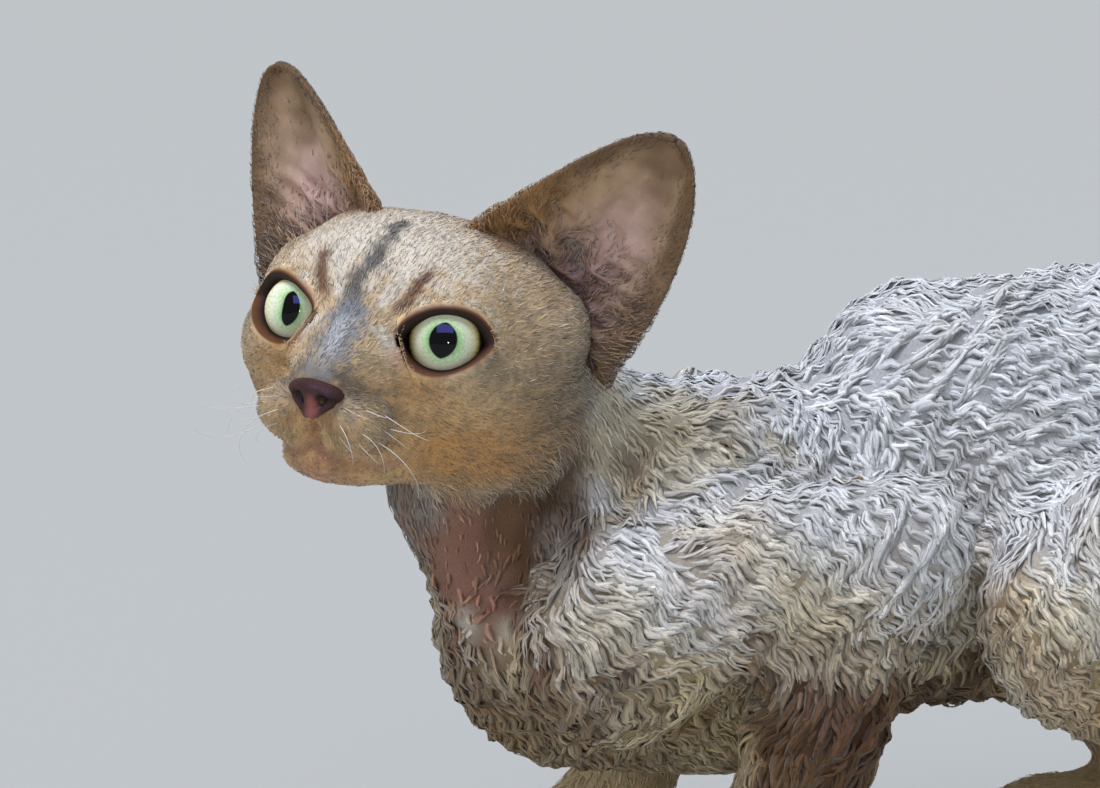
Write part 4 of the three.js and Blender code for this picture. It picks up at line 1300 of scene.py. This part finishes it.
class CatStage(bpy.types.PropertyGroup):
    """The floor and the light."""

    floor: bpy.props.FloatVectorProperty(
        name="Floor", description="Colour of the floor", default=linear("#bfc2c1"), subtype="COLOR"
    )
    key: bpy.props.FloatProperty(
        name="Key light", description="Strength of the soft light from above", default=2.55
    )
    fill: bpy.props.FloatProperty(
        name="Fill light", description="Strength of the light from the front", default=0.6
    )


FLESH_NODES = ["head", "neck", "chest", "belly", "rump", "tail_base", "tail_middle", "tail_tip"]
FLESH_NODES += [
    limb + side
    for limb in ("upper_arm", "forearm", "forepaw", "thigh", "shank", "hindpaw")
    for side in ("_left", "_right")
]


class CAT_OT_skin(bpy.types.Operator):
    """One skin over the whole body, drawn on the flesh and finer over the face"""

    bl_idname = "cat.skin"
    bl_label = "Skin"

    def execute(self, context):
        cell = context.scene.cat_skin.cell / MM
        points, quads = surface_net(skin, (-86, -104, -3), (112, 314, 208), cell)
        points, _ = drawn_to(skin, points, cell / 2, steps=2)
        points[:, 2] = np.maximum(points[:, 2], FLOOR_GAP)
        mesh = mesh_from("skin", points, quads)
        piece = add_piece("skin", mesh, fur_material("short_undercoat", 0.75, 0.7, 0.6, 0.16), "coat",
                          *FLESH_NODES)
        clear_selection()
        piece.select_set(True)
        context.view_layer.objects.active = piece
        q = to_head(place_of(mesh)[quads].mean(1))
        face = (q[:, 1] < 2) & (length(q) < 68) & (q[:, 2] > -40)
        mesh.polygons.foreach_set("select", face)
        mesh.edges.foreach_set("select", np.zeros(len(mesh.edges), bool))
        mesh.vertices.foreach_set("select", np.zeros(len(mesh.vertices), bool))
        bpy.ops.object.mode_set(mode="EDIT")
        bpy.ops.mesh.select_mode(type="FACE")
        bpy.ops.mesh.subdivide(number_cuts=1)
        bpy.ops.object.mode_set(mode="OBJECT")
        points = place_of(mesh)
        q = to_head(points)
        near = (q[:, 1] < 6) & (length(q) < 74)
        points[near], _ = drawn_to(skin, points[near], 0.5)
        points[:, 2] = np.maximum(points[:, 2], FLOOR_GAP)
        move_points(mesh, points)
        mesh.update()
        unwrap(piece, margin=0.001)
        # Painted shade: deep in the waved coat the skin is painted darker, as the shade between the tufts,
        # warmly so low down and coolly on the back. All the skin is also painted a little darker than the
        # fur
        high = smooth(points[:, 2], 80, 150)[:, None]
        shade = mixed(np.array((0.68, 0.6, 0.48)), np.array((0.72, 0.73, 0.75)), high)
        shaded_share = (long_coat(points) * (1 - bareness(points)))[:, None]
        paint(mesh, marking(points) * 0.85 * mixed(np.ones(3), shade, shaded_share))
        return {"FINISHED"}


class CAT_OT_eyes(bpy.types.Operator):
    """Two eyes, each a ball with a low bulge of cornea over its iris, and a lid rim round it"""

    bl_idname = "cat.eyes"
    bl_label = "Eyes and lids"

    def execute(self, context):
        material = eye_material()
        rim = skin_material("lid_rim", 0.55, 0.5, 0.3)
        for name, side in SIDES:
            self.ball(context, name, side, material)
            self.lids(name, side, rim)
        return {"FINISHED"}

    def ball(self, context, name, side, material):
        """An eyeball with a map of its iris round the middle of its pupil."""
        radius = EYE["radius"] - 0.1
        clear_selection()
        bpy.ops.mesh.primitive_uv_sphere_add(segments=96, ring_count=72, radius=1)
        piece = context.active_object
        piece.name = "eyeball_" + name
        mesh = piece.data
        local = np.zeros(len(mesh.vertices) * 3, np.float32)
        mesh.vertices.foreach_get("co", local)
        local = unit(local.reshape(-1, 3).astype(float))
        off = np.arccos(np.clip(local[:, 2], -1, 1))
        bulge = 1.1 * (1 - smooth(off, 0.35, 0.95))
        iris = local[:, :2] * off[:, None] / np.maximum(np.sin(off), 1e-6)[:, None] * radius
        iris -= np.array(PUPIL[name]) * np.maximum(1 - length(iris) / EYE["radius"], 0)[:, None]
        local = local * (radius + bulge)[:, None]
        local[:, 0] *= side
        move_points(mesh, from_head(local @ eye_axes(side) + eye_centre(side)))
        map_points(mesh, "Iris", 0.5 + iris / IRIS_SPAN)
        bpy.ops.object.shade_smooth()
        if side < 0:
            mesh.flip_normals()
        mesh.update()
        finish_piece(piece, material, "eye", "eye_" + name)

    def lids(self, name, side, material, steps=120):
        """The rim of the lids, from inside the opening over the ball and out onto the face."""
        turn = np.linspace(0, 2 * math.pi, steps, endpoint=False)
        w = EYE["width"] / 2
        across = w * np.cos(turn)
        upper, lower = almond(across)
        edge = np.stack([across, np.where(np.sin(turn) >= 0, upper, lower)], 1)
        for _ in range(2):
            edge = (np.roll(edge, 1, 0) + 2 * edge + np.roll(edge, -1, 0)) / 4
        outward = unit(np.stack([np.cos(turn) / w, np.sin(turn) / (EYE["height"] / 2)], 1))
        section = ((-0.4, -0.5), (-0.4, 0.2), (-0.15, 0.65), (0.3, 0.95), (0.9, 1.1))
        outside = ((1.5, 0.4), (2.3, 0.25), (3.0, 0.05), (3.4, -0.9))  # this far above the face
        rows = []

        def face(p):
            return skin(p, sockets=False)

        for offset, height in section + outside:
            flat = edge + outward * offset
            reach = length(flat)
            if (offset, height) in outside:
                radius = EYE["radius"] + 1.2
                near = np.minimum(reach, 9.6)
            else:
                radius = EYE["radius"] + height
                near = np.minimum(reach, radius * 0.985)
            # Past the edge of the ball a row goes on down a slope
            ahead = np.sqrt(radius**2 - near**2) - 0.7 * (reach - near)
            row = np.stack([flat[:, 0] * side, flat[:, 1], ahead], 1)
            row = from_head(row @ eye_axes(side) + eye_centre(side))
            if (offset, height) in outside:
                row, _ = drawn_to(face, row, 5, steps=4, level=height)
            elif offset > 0:
                sunk = face(row) < 0.4
                row[sunk], _ = drawn_to(face, row[sunk], 5, steps=4, level=0.4)
            rows.append(row)
        points = np.stack(rows, 1).reshape(-1, 3)
        section += outside
        faces = []
        wide = len(section)
        for i in range(steps):
            j = (i + 1) % steps
            for k in range(wide - 1):
                faces.append((i * wide + k, i * wide + k + 1, j * wide + k + 1, j * wide + k))
        faces = np.array(faces)
        if side < 0:
            faces = faces[:, ::-1]
        mesh = mesh_from("lids_" + name, points, faces)
        offsets = np.tile([s[0] for s in section], steps)
        above = np.repeat(smooth(np.sin(turn), -0.3, 0.6), wide)
        soot = np.array(linear(COLOURS["soot"]))
        colour = tint(soot, "brown", smooth(offsets, 0.1, 0.4 + 0.8 * above))
        furred = smooth(offsets, 0.3 + 0.6 * above, 1.0 + 1.1 * above)
        colour = mixed(colour, marking(points), furred[:, None])
        duct = np.repeat(smooth(-np.cos(turn), 0.93, 0.99), wide) * (1 - smooth(offsets, 2.2, 3.0))
        paint(mesh, tint(colour, "soot", 0.9 * duct))
        set_fuzz(mesh, (1 - duct) * smooth(offsets, 0.9 + 0.5 * above, 1.7 + 0.5 * above))
        piece = add_piece("lids_" + name, mesh, material, "face_coat")
        unwrap(piece)


class CAT_OT_nose(bpy.types.Operator):
    """The nose leather, with its two nostrils and the cleft below"""

    bl_idname = "cat.nose"
    bl_label = "Nose leather"

    def execute(self, context):
        tip = np.array(NOSE_TIP, float)
        forms = [ellipsoid(tip + (0, 1.0, 0.8), (5.2, 4.2, 2.4))]
        for x in (1, -1):
            forms.append(ellipsoid(tip + (4.6 * x, 2.4, -0.2), (2.9, 4.0, 2.3)))  # wing
            forms.append(cone(tip + (4.8 * x, 1.8, -2.9), 1.0, tip + (0.8 * x, 0.9, -5.9), 1.1))
        forms.append(cone(tip + (0, -0.4, -1.2), 2.0, tip + (0, 0.6, -6.0), 1.2))
        body = melt(1.6, *forms)
        slit = melt(
            0.8,
            ellipsoid(tip + (3.5, -2.4, -2.0), (1.5, 2.8, 1.3)),
            cone(tip + (4.4, -2.2, -2.3), 1.0, tip + (8.6, 1.2, -1.9), 0.75),
        )

        def leather(q):
            cleft = 0.8 * np.exp(-((q[:, 0] / 0.55) ** 2)) * smooth(-q[:, 2], 11, 14.5)
            return np.maximum(body(q) + cleft, 0.25 - slit(one_side(q)))

        points, quads = surface_net(leather, (-9.5, -63, -23), (9.5, -45, -5), 0.42)
        points, _ = drawn_to(leather, points, 0.2)
        mesh = mesh_from("nose_leather", from_head(points), quads)
        rosy = smooth(-points[:, 2], 12, 15) * (1 - smooth(points[:, 0], 1.5, 3.2))
        rosy *= smooth(points[:, 0], -1.6, 0.2)
        colour = tint(np.array(linear(COLOURS["liver"])), "salmon", rosy)
        # Painted shade: the nostrils are painted nearly black inside
        inside = smooth(-slit(one_side(points)), -0.9, 0.2)
        paint(mesh, tint(colour, "nostril_shade", inside))
        add_piece("nose_leather", mesh, skin_material("nose_leather_grain", 0.5, 0.45, 0.8, coat=0.12),
                  "nose_leather", "nose")
        return {"FINISHED"}


def pinna(name, side, u, t):
    """The middle of an ear's sheet: u from its inner to its outer edge, t from root to tip."""
    inner = np.array(EAR["inner"], float)
    outer = np.array(EAR["outer"], float)
    tip = np.array(EAR[name]["tip"], float)
    root = (inner + outer) / 2
    rise = unit(tip - root)
    wide = outer - inner
    flat = unit(wide - rise * (wide @ rise))
    angle = math.radians(EAR[name]["turn"])
    across = flat * math.cos(angle) - np.cross(flat, rise) * math.sin(angle)
    open_way = np.cross(across, rise)
    a = 2 * u - 1
    v = -0.2 + 1.2 * np.sin(t * math.pi / 2)
    up = np.maximum(v, 0)
    half = length(wide) / 2 * EAR["spread"] * (1 - 0.12 * v) * np.sqrt(np.maximum(1 - up**1.5, 0)) + 0.5
    lean = EAR["lean"] * (1 - (1 - up) ** 2.2)
    depth = EAR["cup"] * (1 - 0.7 * v) * (1 - a * a)
    p = root + rise * (v * length(tip - root))[:, None] + across * (a * half + lean)[:, None]
    p = p + open_way * (3 * v * v - depth)[:, None]
    p[:, 0] *= side
    return p


def ear_marking(u, t, q, inside):
    """An ear's colour: rosy grey inside, brown to the rim and tip, dark low down in the cup."""
    v = np.sin(t * math.pi / 2)
    rim = np.minimum(np.minimum(u, 1 - u) * 4, (1 - t) * 4)
    colour = np.tile(linear(COLOURS["buff"]), (len(q), 1))
    rosy = np.exp(-(((u - 0.6) / 0.24) ** 2) - ((v - 0.5) / 0.26) ** 2)
    colour = tint(colour, "rose", 0.9 * rosy)
    deep = (1 - smooth(v, 0.15, 0.5)) * smooth(rim, 0.3, 1.2)
    colour = tint(colour, "mauve", 0.85 * deep)
    colour = tint(colour, "lilac", 0.8 * deep * smooth(ripple(q, 6.5, 63), -0.1, 0.8))
    outside = tint(np.array(linear(COLOURS["drab"])), "ash", 1 - smooth(v, 0.3, 0.9))
    colour = mixed(colour, outside, (1 - inside)[:, None])
    brown = 1 - smooth(rim + 0.1 * ripple(q, 9, 61), 0.1, 0.9)
    brown = np.maximum(brown, 0.75 * smooth(v + 0.06 * ripple(q, 9, 62), 0.62, 0.95))
    colour = tint(colour, "bark", 0.85 * brown)
    inner_root = (1 - smooth(u, 0.08, 0.4)) * (1 - smooth(v, 0.3, 0.8))
    return tint(colour, "amber", 0.8 * inner_root)


class CAT_OT_ears(bpy.types.Operator):
    """Two big thin ears, each a deep cup with a rounded rim and ridges inside"""

    bl_idname = "cat.ears"
    bl_label = "Ears"

    def execute(self, context):
        material = skin_material("ear_skin_thin", 0.55, 0.6, 0.35)
        for name, side in SIDES:
            self.ear(name, side, material)
        return {"FINISHED"}

    def ear(self, name, side, material, across=64, along=72):
        """One ear: a front and a back grid of points, joined round the edge."""
        u, t = np.meshgrid(np.linspace(0, 1, across + 1), np.linspace(0.02, 1, along + 1))
        u = u.ravel()
        t = t.ravel()
        e = 0.004
        middle = pinna(name, side, u, t)
        du = pinna(name, side, np.minimum(u + e, 1), t) - pinna(name, side, np.maximum(u - e, 0), t)
        dv = pinna(name, side, u, np.minimum(t + e, 1)) - pinna(name, side, u, np.maximum(t - e, 0))
        normal = unit(np.cross(du, dv)) * side
        rim = np.minimum(np.minimum(u, 1 - u) * 16, (1 - t) * 18)
        thick = 0.42 + 0.55 * smooth(rim, 0, 1)
        ridge = (1 - smooth(t, 0.3, 0.8)) * smooth(rim, 0.5, 2)
        ridges = 1.2 * ridge * np.sin(u * 21 + 2.4 * t) * np.exp(-(((u - 0.45) / 0.28) ** 2))
        ridges += 1.1 * ridge * (1 - smooth(t, 0.25, 0.5)) * ripple(middle, 6.5, 64)
        ridges += 2.2 * (1 - smooth(t, 0.1, 0.5)) * np.exp(-(((u - 0.24 - 0.2 * t) / 0.05) ** 2))
        ridges += 1.6 * (1 - smooth(t, 0.2, 0.45)) * np.exp(-(((u - 0.8 + 0.1 * t) / 0.05) ** 2))
        front = middle + normal * (thick + ridges)[:, None]
        back = middle - normal * thick[:, None]
        local = np.vstack([front, back])
        points = from_head(local)
        columns = across + 1
        size = len(u)
        faces = []
        for j in range(along):
            for i in range(across):
                a = j * columns + i
                faces.append((a, a + 1, a + columns + 1, a + columns))
                b = a + size
                faces.append((b, b + columns, b + columns + 1, b + 1))
        for i in range(across):
            a = i
            faces.append((a + size, a + 1 + size, a + 1, a))
            b = along * columns + i
            faces.append((b, b + 1, b + 1 + size, b + size))
        for j in range(along):
            a = j * columns
            faces.append((a, a + columns, a + columns + size, a + size))
            b = j * columns + across
            faces.append((b + size, b + columns + size, b + columns, b))
        faces = np.array(faces)
        if side < 0:
            faces = faces[:, ::-1]
        mesh = mesh_from("ear_" + name, points, faces)
        inner = np.concatenate([np.ones(size), np.zeros(size)])
        paint(mesh, ear_marking(np.tile(u, 2), np.tile(t, 2), one_side(local), inner))
        edge = np.tile(1 - smooth(np.minimum(np.minimum(u, 1 - u) * 5, (1 - t) * 7), 0.2, 1.3), 2)
        base = np.tile((1 - smooth(t, 0.2, 0.42)) * (1 - smooth(np.abs(u - 0.5), 0.2, 0.5) * 0.3), 2)
        inside = np.maximum(0.01, 0.4 * base) * inner
        set_fuzz(mesh, np.maximum(np.maximum(0.75 * (1 - inner), edge), inside))
        piece = add_piece("ear_skin_" + name, mesh, material, "ear_skin", "ear_" + name)
        unwrap(piece)


def hair_mesh(name, lines, radii, sides=5):
    """Closed tapered hairs along lines of points, all in one mesh."""
    points = []
    faces = []
    for line, radius in zip(lines, radii):
        count = len(line)
        ahead = unit(np.gradient(line, axis=0))
        helper = np.array((0.3, 0.5, 0.8))
        side = unit(np.cross(ahead, helper))
        top = np.cross(side, ahead)
        first = len(points)
        for k in range(count - 1):
            r = radius * (1 - k / count) ** 0.7
            for i in range(sides):
                angle = 2 * math.pi * i / sides
                points.append(line[k] + side[k] * math.cos(angle) * r + top[k] * math.sin(angle) * r)
        points.append(line[-1])
        tip = len(points) - 1
        for k in range(count - 2):
            for i in range(sides):
                a = first + k * sides + i
                b = first + k * sides + (i + 1) % sides
                faces.append((a, a + sides, b + sides, b))
        for i in range(sides):
            a = first + (count - 2) * sides + i
            b = first + (count - 2) * sides + (i + 1) % sides
            faces.append((a, tip, b, -1))
        for i in range(1, sides - 1):
            faces.append((first, first + i, first + i + 1, -1))
    return mesh_from(name, np.array(points), np.array(faces))


def curled_hair(root, way, droop, reach, curl, steps=16):
    """A hair from a root along a way, bending towards droop and curling at its end."""
    way = unit(way)
    droop = np.array(droop, float)
    side = unit(np.cross(way, droop + (0.01, 0.02, 0.03)))
    line = []
    spot = np.array(root, float)
    heading = way.copy()
    for k in range(steps):
        line.append(spot.copy())
        spot = spot + heading * reach / steps
        bend = droop / steps + np.cross(side, heading) * curl * (k / steps) / steps
        heading = unit(heading + bend)
    return np.array(line)


class CAT_OT_whiskers(bpy.types.Operator):
    """Short curled whiskers on the pads, and fine hairs over the eyes"""

    bl_idname = "cat.whiskers"
    bl_label = "Whiskers and brow hairs"

    def execute(self, context):
        draw = np.random.default_rng(71)
        lines = []
        radii = []
        for side in (1, -1):
            for row in range(3):
                for place in range(3 + (row % 2)):
                    start = np.array((9 + 3.6 * place, -53 + 2.8 * place, -15.5 - 3.2 * row))
                    start += draw.normal(0, 0.35, 3)
                    root = start * (side, 1, 1)
                    way = np.array((0.8 + 0.12 * place, -0.5 + 0.3 * place, -0.15 - 0.14 * row))
                    way = (way + draw.normal(0, 0.16, 3)) * (side, 1, 1)
                    reach = draw.uniform(9, 25)
                    curl = draw.choice((-1, 1)) * draw.uniform(2, 7.5)
                    droop = np.array((0, 0.5, -0.5)) + draw.normal(0, 0.3, 3)
                    lines.append((root, way, droop, reach, curl))
                    radii.append(draw.uniform(0.08, 0.15))
            for place in range(4):
                root = np.array((13 + 2.4 * place, -27 + 1.2 * place, 18.5 - 0.3 * place)) * (side, 1, 1)
                way = np.array((0.25 + 0.1 * place, -0.35, 1.0)) + draw.normal(0, 0.15, 3)
                lines.append((root, way * (side, 1, 1), np.array((0, 0.7, 0.1)), draw.uniform(14, 26),
                              draw.normal(0, 1.2)))
                radii.append(draw.uniform(0.06, 0.1))
        curves = []
        for root, way, droop, reach, curl in lines:
            spot, _ = drawn_to(skin, from_head(root[None]), 6, steps=3)
            spot = to_head(spot)[0]
            line = curled_hair(spot - unit(way) * 0.5, way, droop, reach, curl)
            curves.append(from_head(line))
        mesh = hair_mesh("whiskers", curves, radii)
        add_piece("whiskers", mesh, keratin_material("whisker_keratin", "#f4f1ea", 0.35), "face_coat")
        return {"FINISHED"}


class CAT_OT_claws(bpy.types.Operator):
    """Small hooked claws, drawn back between the toes' fur"""

    bl_idname = "cat.claws"
    bl_label = "Claws"

    def execute(self, context):
        lines = []
        radii = []
        for side in (1, -1):
            for toes in (FORE_TOES, HIND_TOES):
                for x, ahead in TOES:
                    root = np.array(plus(toes, (x, ahead - 7.5, 1.0))) * (side, 1, 1)
                    turn = np.linspace(0, 1, 9)[:, None] * 1.5
                    ahead_by = np.array((0, -3.4, 0)) * np.sin(turn)
                    down_by = np.array((0, 0, -3.2)) * (1 - np.cos(turn))
                    lines.append(root + (ahead_by + down_by))
                    radii.append(0.85)
        mesh = hair_mesh("claws", lines, radii, sides=8)
        add_piece("claws", mesh, keratin_material("claw_horn", "#cdbda8", 0.3), "face_coat")
        return {"FINISHED"}


class CAT_OT_coat(bpy.types.Operator):
    """The waved coat of the trunk and limbs, and the shorter fur of the legs, feet and tail"""

    bl_idname = "cat.coat"
    bl_label = "Coat"

    def execute(self, context):
        sizes = context.scene.cat_coat
        ground = ground_of("skin")
        material = fur_material("waved_coat", 0.6, 1.4, 0.35, 0.1, strands=5)
        part = nearest_part(ground.middle)
        x, y, z = ground.middle.T
        low = ((part == "fore") | (part == "hind")) & (z < 58)
        regions = {"coat_neck": (part == "trunk") & (y < 34)}
        for name, here in (
            ("coat_back", (part == "trunk") & (y >= 34)),
            ("coat_fore", (part == "fore") & ~low),
            ("coat_hind", (part == "hind") & ~low),
            ("fur_feet", low),
        ):
            regions[name + "_left"] = here & (x >= 0)
            regions[name + "_right"] = here & (x < 0)
        regions["fur_tail"] = part == "tail"
        off_floor = z > 1.5
        for seed, (name, here) in enumerate(regions.items()):
            roots, normals, patch = ground.scatter(here & off_floor, sizes.spacing / MM, 100 + seed)
            thinned = np.random.default_rng(150 + seed).uniform(0, 1, len(roots))
            kept = thinned > 0.75 * bareness(roots)
            roots, normals, patch = roots[kept], normals[kept], patch[kept]
            bare = bareness(roots)
            share = long_coat(roots)
            colour = marking(roots) * (1 + 0.5 * bare)[:, None]
            small = 1 - smooth(roots[:, 2], 16, 40)
            style = {
                "long": mixed(4.4, sizes.long / MM, share) * (1 - 0.35 * small) * (1 - 0.35 * bare),
                "wide": mixed(1.3, sizes.wide / MM, share),
                "lift": mixed(0.45, 0.9, share) * (1 - 0.3 * small),
                "wave": sizes.wave * mixed(0.15, 1.0, share),
                # Frosted tips on the upper body: partly the coat's own pale tipping, partly a painted
                # highlight from above. It also cools the painted shade at the roots
                "frost_and_highlight": smooth(roots[:, 2], 76, 150) * smooth(colour.mean(1), 0.3, 0.62),
                "colour": colour,
                "stray": 0.14, "bend": 0.14, "tone": 0.14, "thick": 0.2,
            }
            lie = lie_at(roots, normals)
            mesh = tuft_mesh(name, ground, roots, normals, patch, lie, style, 200 + seed,
                             rings=5 if share.mean() > 0.5 else 4)
            add_piece(name, mesh, material, "coat")
        return {"FINISHED"}


class CAT_OT_face_fur(bpy.types.Operator):
    """The short flat fur of the head, its lids and its ears"""

    bl_idname = "cat.face_fur"
    bl_label = "Face fur"

    def execute(self, context):
        sizes = context.scene.cat_coat
        ground = ground_of("skin")
        material = fur_material("face_fur", 0.6, 0.9, 0.1, 0.12, strands=2)
        q = to_head(ground.middle)
        nose = length((q - np.array(NOSE_TIP)) / (7.6, 6.0, 6)) < 1
        lips, _ = near_mouth(q)
        furred = (nearest_part(ground.middle) == "head") & ~nose & (lips > 1.0)
        for side in (1, -1):
            local = eye_frame(q, side)
            furred &= ~((length(local) < 15) & (opening(local) > -2.9) & (local[:, 2] > 3))
        for seed, (name, side) in enumerate(SIDES):
            here = furred & (q[:, 0] * side >= 0)
            roots, normals, patch = ground.scatter(here, sizes.face_spacing / MM, 300 + seed)
            lie = lie_at(roots, normals)
            place = to_head(roots)
            back = smooth(place[:, 1], -30, 20)
            cheek = smooth(place[:, 1], -14, 10) * (1 - smooth(place[:, 2], -8, 6))
            near, _ = near_mouth(place)
            shorter = 0.35 + 0.65 * smooth(near, 0.8, 6)
            style = {
                "long": (sizes.face_long / MM) * (0.8 + 0.8 * back + 1.3 * cheek) * shorter,
                "wide": 0.32 + 0.1 * back,
                "lift": 0.3 + 0.1 * back + 0.35 * cheek,
                "wave": 0.1 + 0.3 * cheek,
                # root: how dark the painted shade at the tufts' roots is; tip: how pale their tips are
                "stray": 0.22, "bend": 0.3, "tone": 0.28, "tip": 0.55, "root": 0.58, "thick": 0.6,
            }
            mesh = tuft_mesh("fur_head_" + name, ground, roots, normals, patch, lie, style, 320 + seed,
                             rings=3)
            add_piece("fur_head_" + name, mesh, material, "face_coat")
        for seed, (name, side) in enumerate(SIDES):
            self.ear_fuzz(name, side, material, 340 + seed)
            self.lid_fur(name, material, 360 + seed)
        return {"FINISHED"}

    def on_piece(self, surface, spacing, seed):
        """A piece's ground, and places on it spread by the share of down at its points."""
        ground = ground_of(surface)
        fuzz = np.zeros(len(ground.points), np.float32)
        bpy.data.objects[surface].data.attributes["Fuzz"].data.foreach_get("value", fuzz)
        return ground, *ground.scatter(fuzz[ground.corners].mean(1), spacing, seed)

    def lid_fur(self, name, material, seed):
        """Very short fur on the lids, lying away from the eye."""
        ground, roots, normals, patch = self.on_piece("lids_" + name, 0.8, seed)
        style = {
            "long": 2.3, "wide": 0.32, "lift": 0.3, "wave": 0.1, "stray": 0.3, "bend": 0.3,
            "tone": 0.22, "tip": 0.5, "root": 0.65, "thick": 0.6,
        # root: how dark the painted shade at the tufts' roots is; tip: how pale their tips are
        }
        lie = lie_at(roots, normals)
        mesh = tuft_mesh("fur_lids_" + name, ground, roots, normals, patch, lie, style, seed + 10, rings=3)
        add_piece("fur_lids_" + name, mesh, material, "face_coat")

    def ear_fuzz(self, name, side, material, seed):
        """Down on the ear's rim and back, and longer hair at its root."""
        ground, roots, normals, patch = self.on_piece("ear_skin_" + name, 1.2, seed)
        q = to_head(roots)
        base = np.array((27, 0, 6)) * (side, 1, 1)
        way = unit(q - base) @ HEAD_AXES.T
        flat = unit(way - normals * (way * normals).sum(1, keepdims=True))
        colour = np.ones((len(ground.points), 4), np.float32)
        skin_layer = bpy.data.objects["ear_skin_" + name].data.color_attributes["Marking"]
        skin_layer.data.foreach_get("color", colour.reshape(-1))
        nearest = np.array([ground.tree.find(spot)[1] for spot in roots])
        low = 1 - smooth(length(q - base), 26, 44)
        style = {
            "long": 2.2 + 3.6 * low, "wide": 0.34 + 0.2 * low, "lift": 0.35 + 0.9 * low, "wave": 0.3 * low,
            # root: how dark the painted shade at the tufts' roots is; tip: how pale their tips are
            "stray": 0.3, "bend": 0.3, "tone": 0.2, "tip": 0.25, "root": 0.6, "thick": 0.7,
            "colour": colour[nearest, :3].astype(float),
        }
        mesh = tuft_mesh("fur_ear_" + name, ground, roots, normals, patch, flat, style, seed + 10, rings=3)
        add_piece("fur_ear_" + name, mesh, material, "face_coat")


def way_to(turn, rise):
    """The way to a place so many degrees round from the chest and up from level."""
    turn = math.radians(turn)
    rise = math.radians(rise)
    return Vector((math.sin(turn) * math.cos(rise), -math.cos(turn) * math.cos(rise), math.sin(rise)))


class CAT_OT_stage(bpy.types.Operator):
    """A plain pale floor, soft studio light and the camera"""

    bl_idname = "cat.stage"
    bl_label = "Stage"

    def execute(self, context):
        settings = context.scene.cat_stage
        clear_selection()
        bpy.ops.mesh.primitive_plane_add(size=60)
        floor = context.active_object
        floor.name = "floor"
        # Matt paint, which keeps the floor one even pale tone with no reflections
        material, _, shader = new_material("painted_floor")
        shader.inputs["Base Color"].default_value = (*settings.floor, 1)
        shader.inputs["Roughness"].default_value = 0.9
        floor.data.materials.append(material)
        aim = Vector(in_frame((0, 0, 150)))
        back = way_to(CAMERA["turn"], CAMERA["rise"])
        camera = bpy.data.objects.new("camera", bpy.data.cameras.new("camera"))
        camera.data.sensor_width = 36
        camera.data.lens = CAMERA["lens"] / CAMERA["picture"] * camera.data.sensor_width
        camera.location = aim + back * CAMERA["away"]
        camera.rotation_euler = back.to_track_quat("Z", "Y").to_euler()
        context.scene.collection.objects.link(camera)
        context.scene.camera = camera
        self.sun(context, "key", (0.05, -0.25, 1.0), 32, settings.key, "#f3f5ff")
        self.sun(context, "fill", (0.9, -0.7, 0.4), 60, settings.fill, "#fff4e6")
        self.glint(context, "window", aim, (68, 42), 2.2, (1.6, 1.0), 45, "#7f86ff")
        self.glint(context, "catch", aim, (76, 5), 1.4, (0.05, 0.05), 1.2, "#ffffff")
        world = bpy.data.worlds.new("studio")
        world.use_nodes = True
        background = world.node_tree.nodes["Background"]
        background.inputs["Color"].default_value = (*linear("#dfe3e2"), 1)
        background.inputs["Strength"].default_value = 0.38
        context.scene.world = world
        context.scene.view_settings.view_transform = "Standard"
        return {"FINISHED"}

    def glint(self, context, name, aim, angles, away, size, power, code):
        """A lamp that only shows as a reflection, in the eyes above all."""
        light = bpy.data.lights.new(name, "AREA")
        light.shape = "RECTANGLE"
        light.size, light.size_y = size
        light.energy = power
        light.color = linear(code)
        lamp = bpy.data.objects.new(name, light)
        way = way_to(*angles)
        lamp.location = aim + way * away
        lamp.rotation_euler = way.to_track_quat("Z", "Y").to_euler()
        lamp.visible_diffuse = False
        context.scene.collection.objects.link(lamp)

    def sun(self, context, name, way, spread, power, code):
        """A soft light from far away, so that the floor is lit evenly."""
        light = bpy.data.lights.new(name, "SUN")
        light.angle = math.radians(spread)
        light.energy = power
        light.color = linear(code)
        lamp = bpy.data.objects.new(name, light)
        lamp.rotation_euler = Vector(way).to_track_quat("Z", "Y").to_euler()
        lamp.visible_glossy = False
        context.scene.collection.objects.link(lamp)


STEPS = ("skin", "eyes", "nose", "ears", "whiskers", "claws", "coat", "face_fur", "stage")


class CAT_PT_panel(bpy.types.Panel):
    """Lists the cat's pieces"""

    bl_idname = "CAT_PT_panel"
    bl_label = "Cat"
    bl_space_type = "VIEW_3D"
    bl_region_type = "UI"
    bl_category = "Cat"

    def draw(self, context):
        for step in STEPS:
            self.layout.operator("cat." + step)
        for group in (context.scene.cat_skin, context.scene.cat_coat, context.scene.cat_stage):
            for name in group.__annotations__:
                self.layout.prop(group, name)


CLASSES = (
    CatCoat, CatSkin, CatStage, CAT_OT_skin, CAT_OT_eyes, CAT_OT_nose, CAT_OT_ears,
    CAT_OT_whiskers, CAT_OT_claws, CAT_OT_coat, CAT_OT_face_fur, CAT_OT_stage, CAT_PT_panel,
)


def register():
    for item in CLASSES:
        bpy.utils.register_class(item)
    bpy.types.Scene.cat_coat = bpy.props.PointerProperty(type=CatCoat)
    bpy.types.Scene.cat_skin = bpy.props.PointerProperty(type=CatSkin)
    bpy.types.Scene.cat_stage = bpy.props.PointerProperty(type=CatStage)


def unregister():
    del bpy.types.Scene.cat_stage
    del bpy.types.Scene.cat_skin
    del bpy.types.Scene.cat_coat
    for item in reversed(CLASSES):
        bpy.utils.unregister_class(item)


def main():
    register()
    clear_selection()
    for step in STEPS:
        getattr(bpy.ops.cat, step)()


if __name__ == "__main__":
    main()
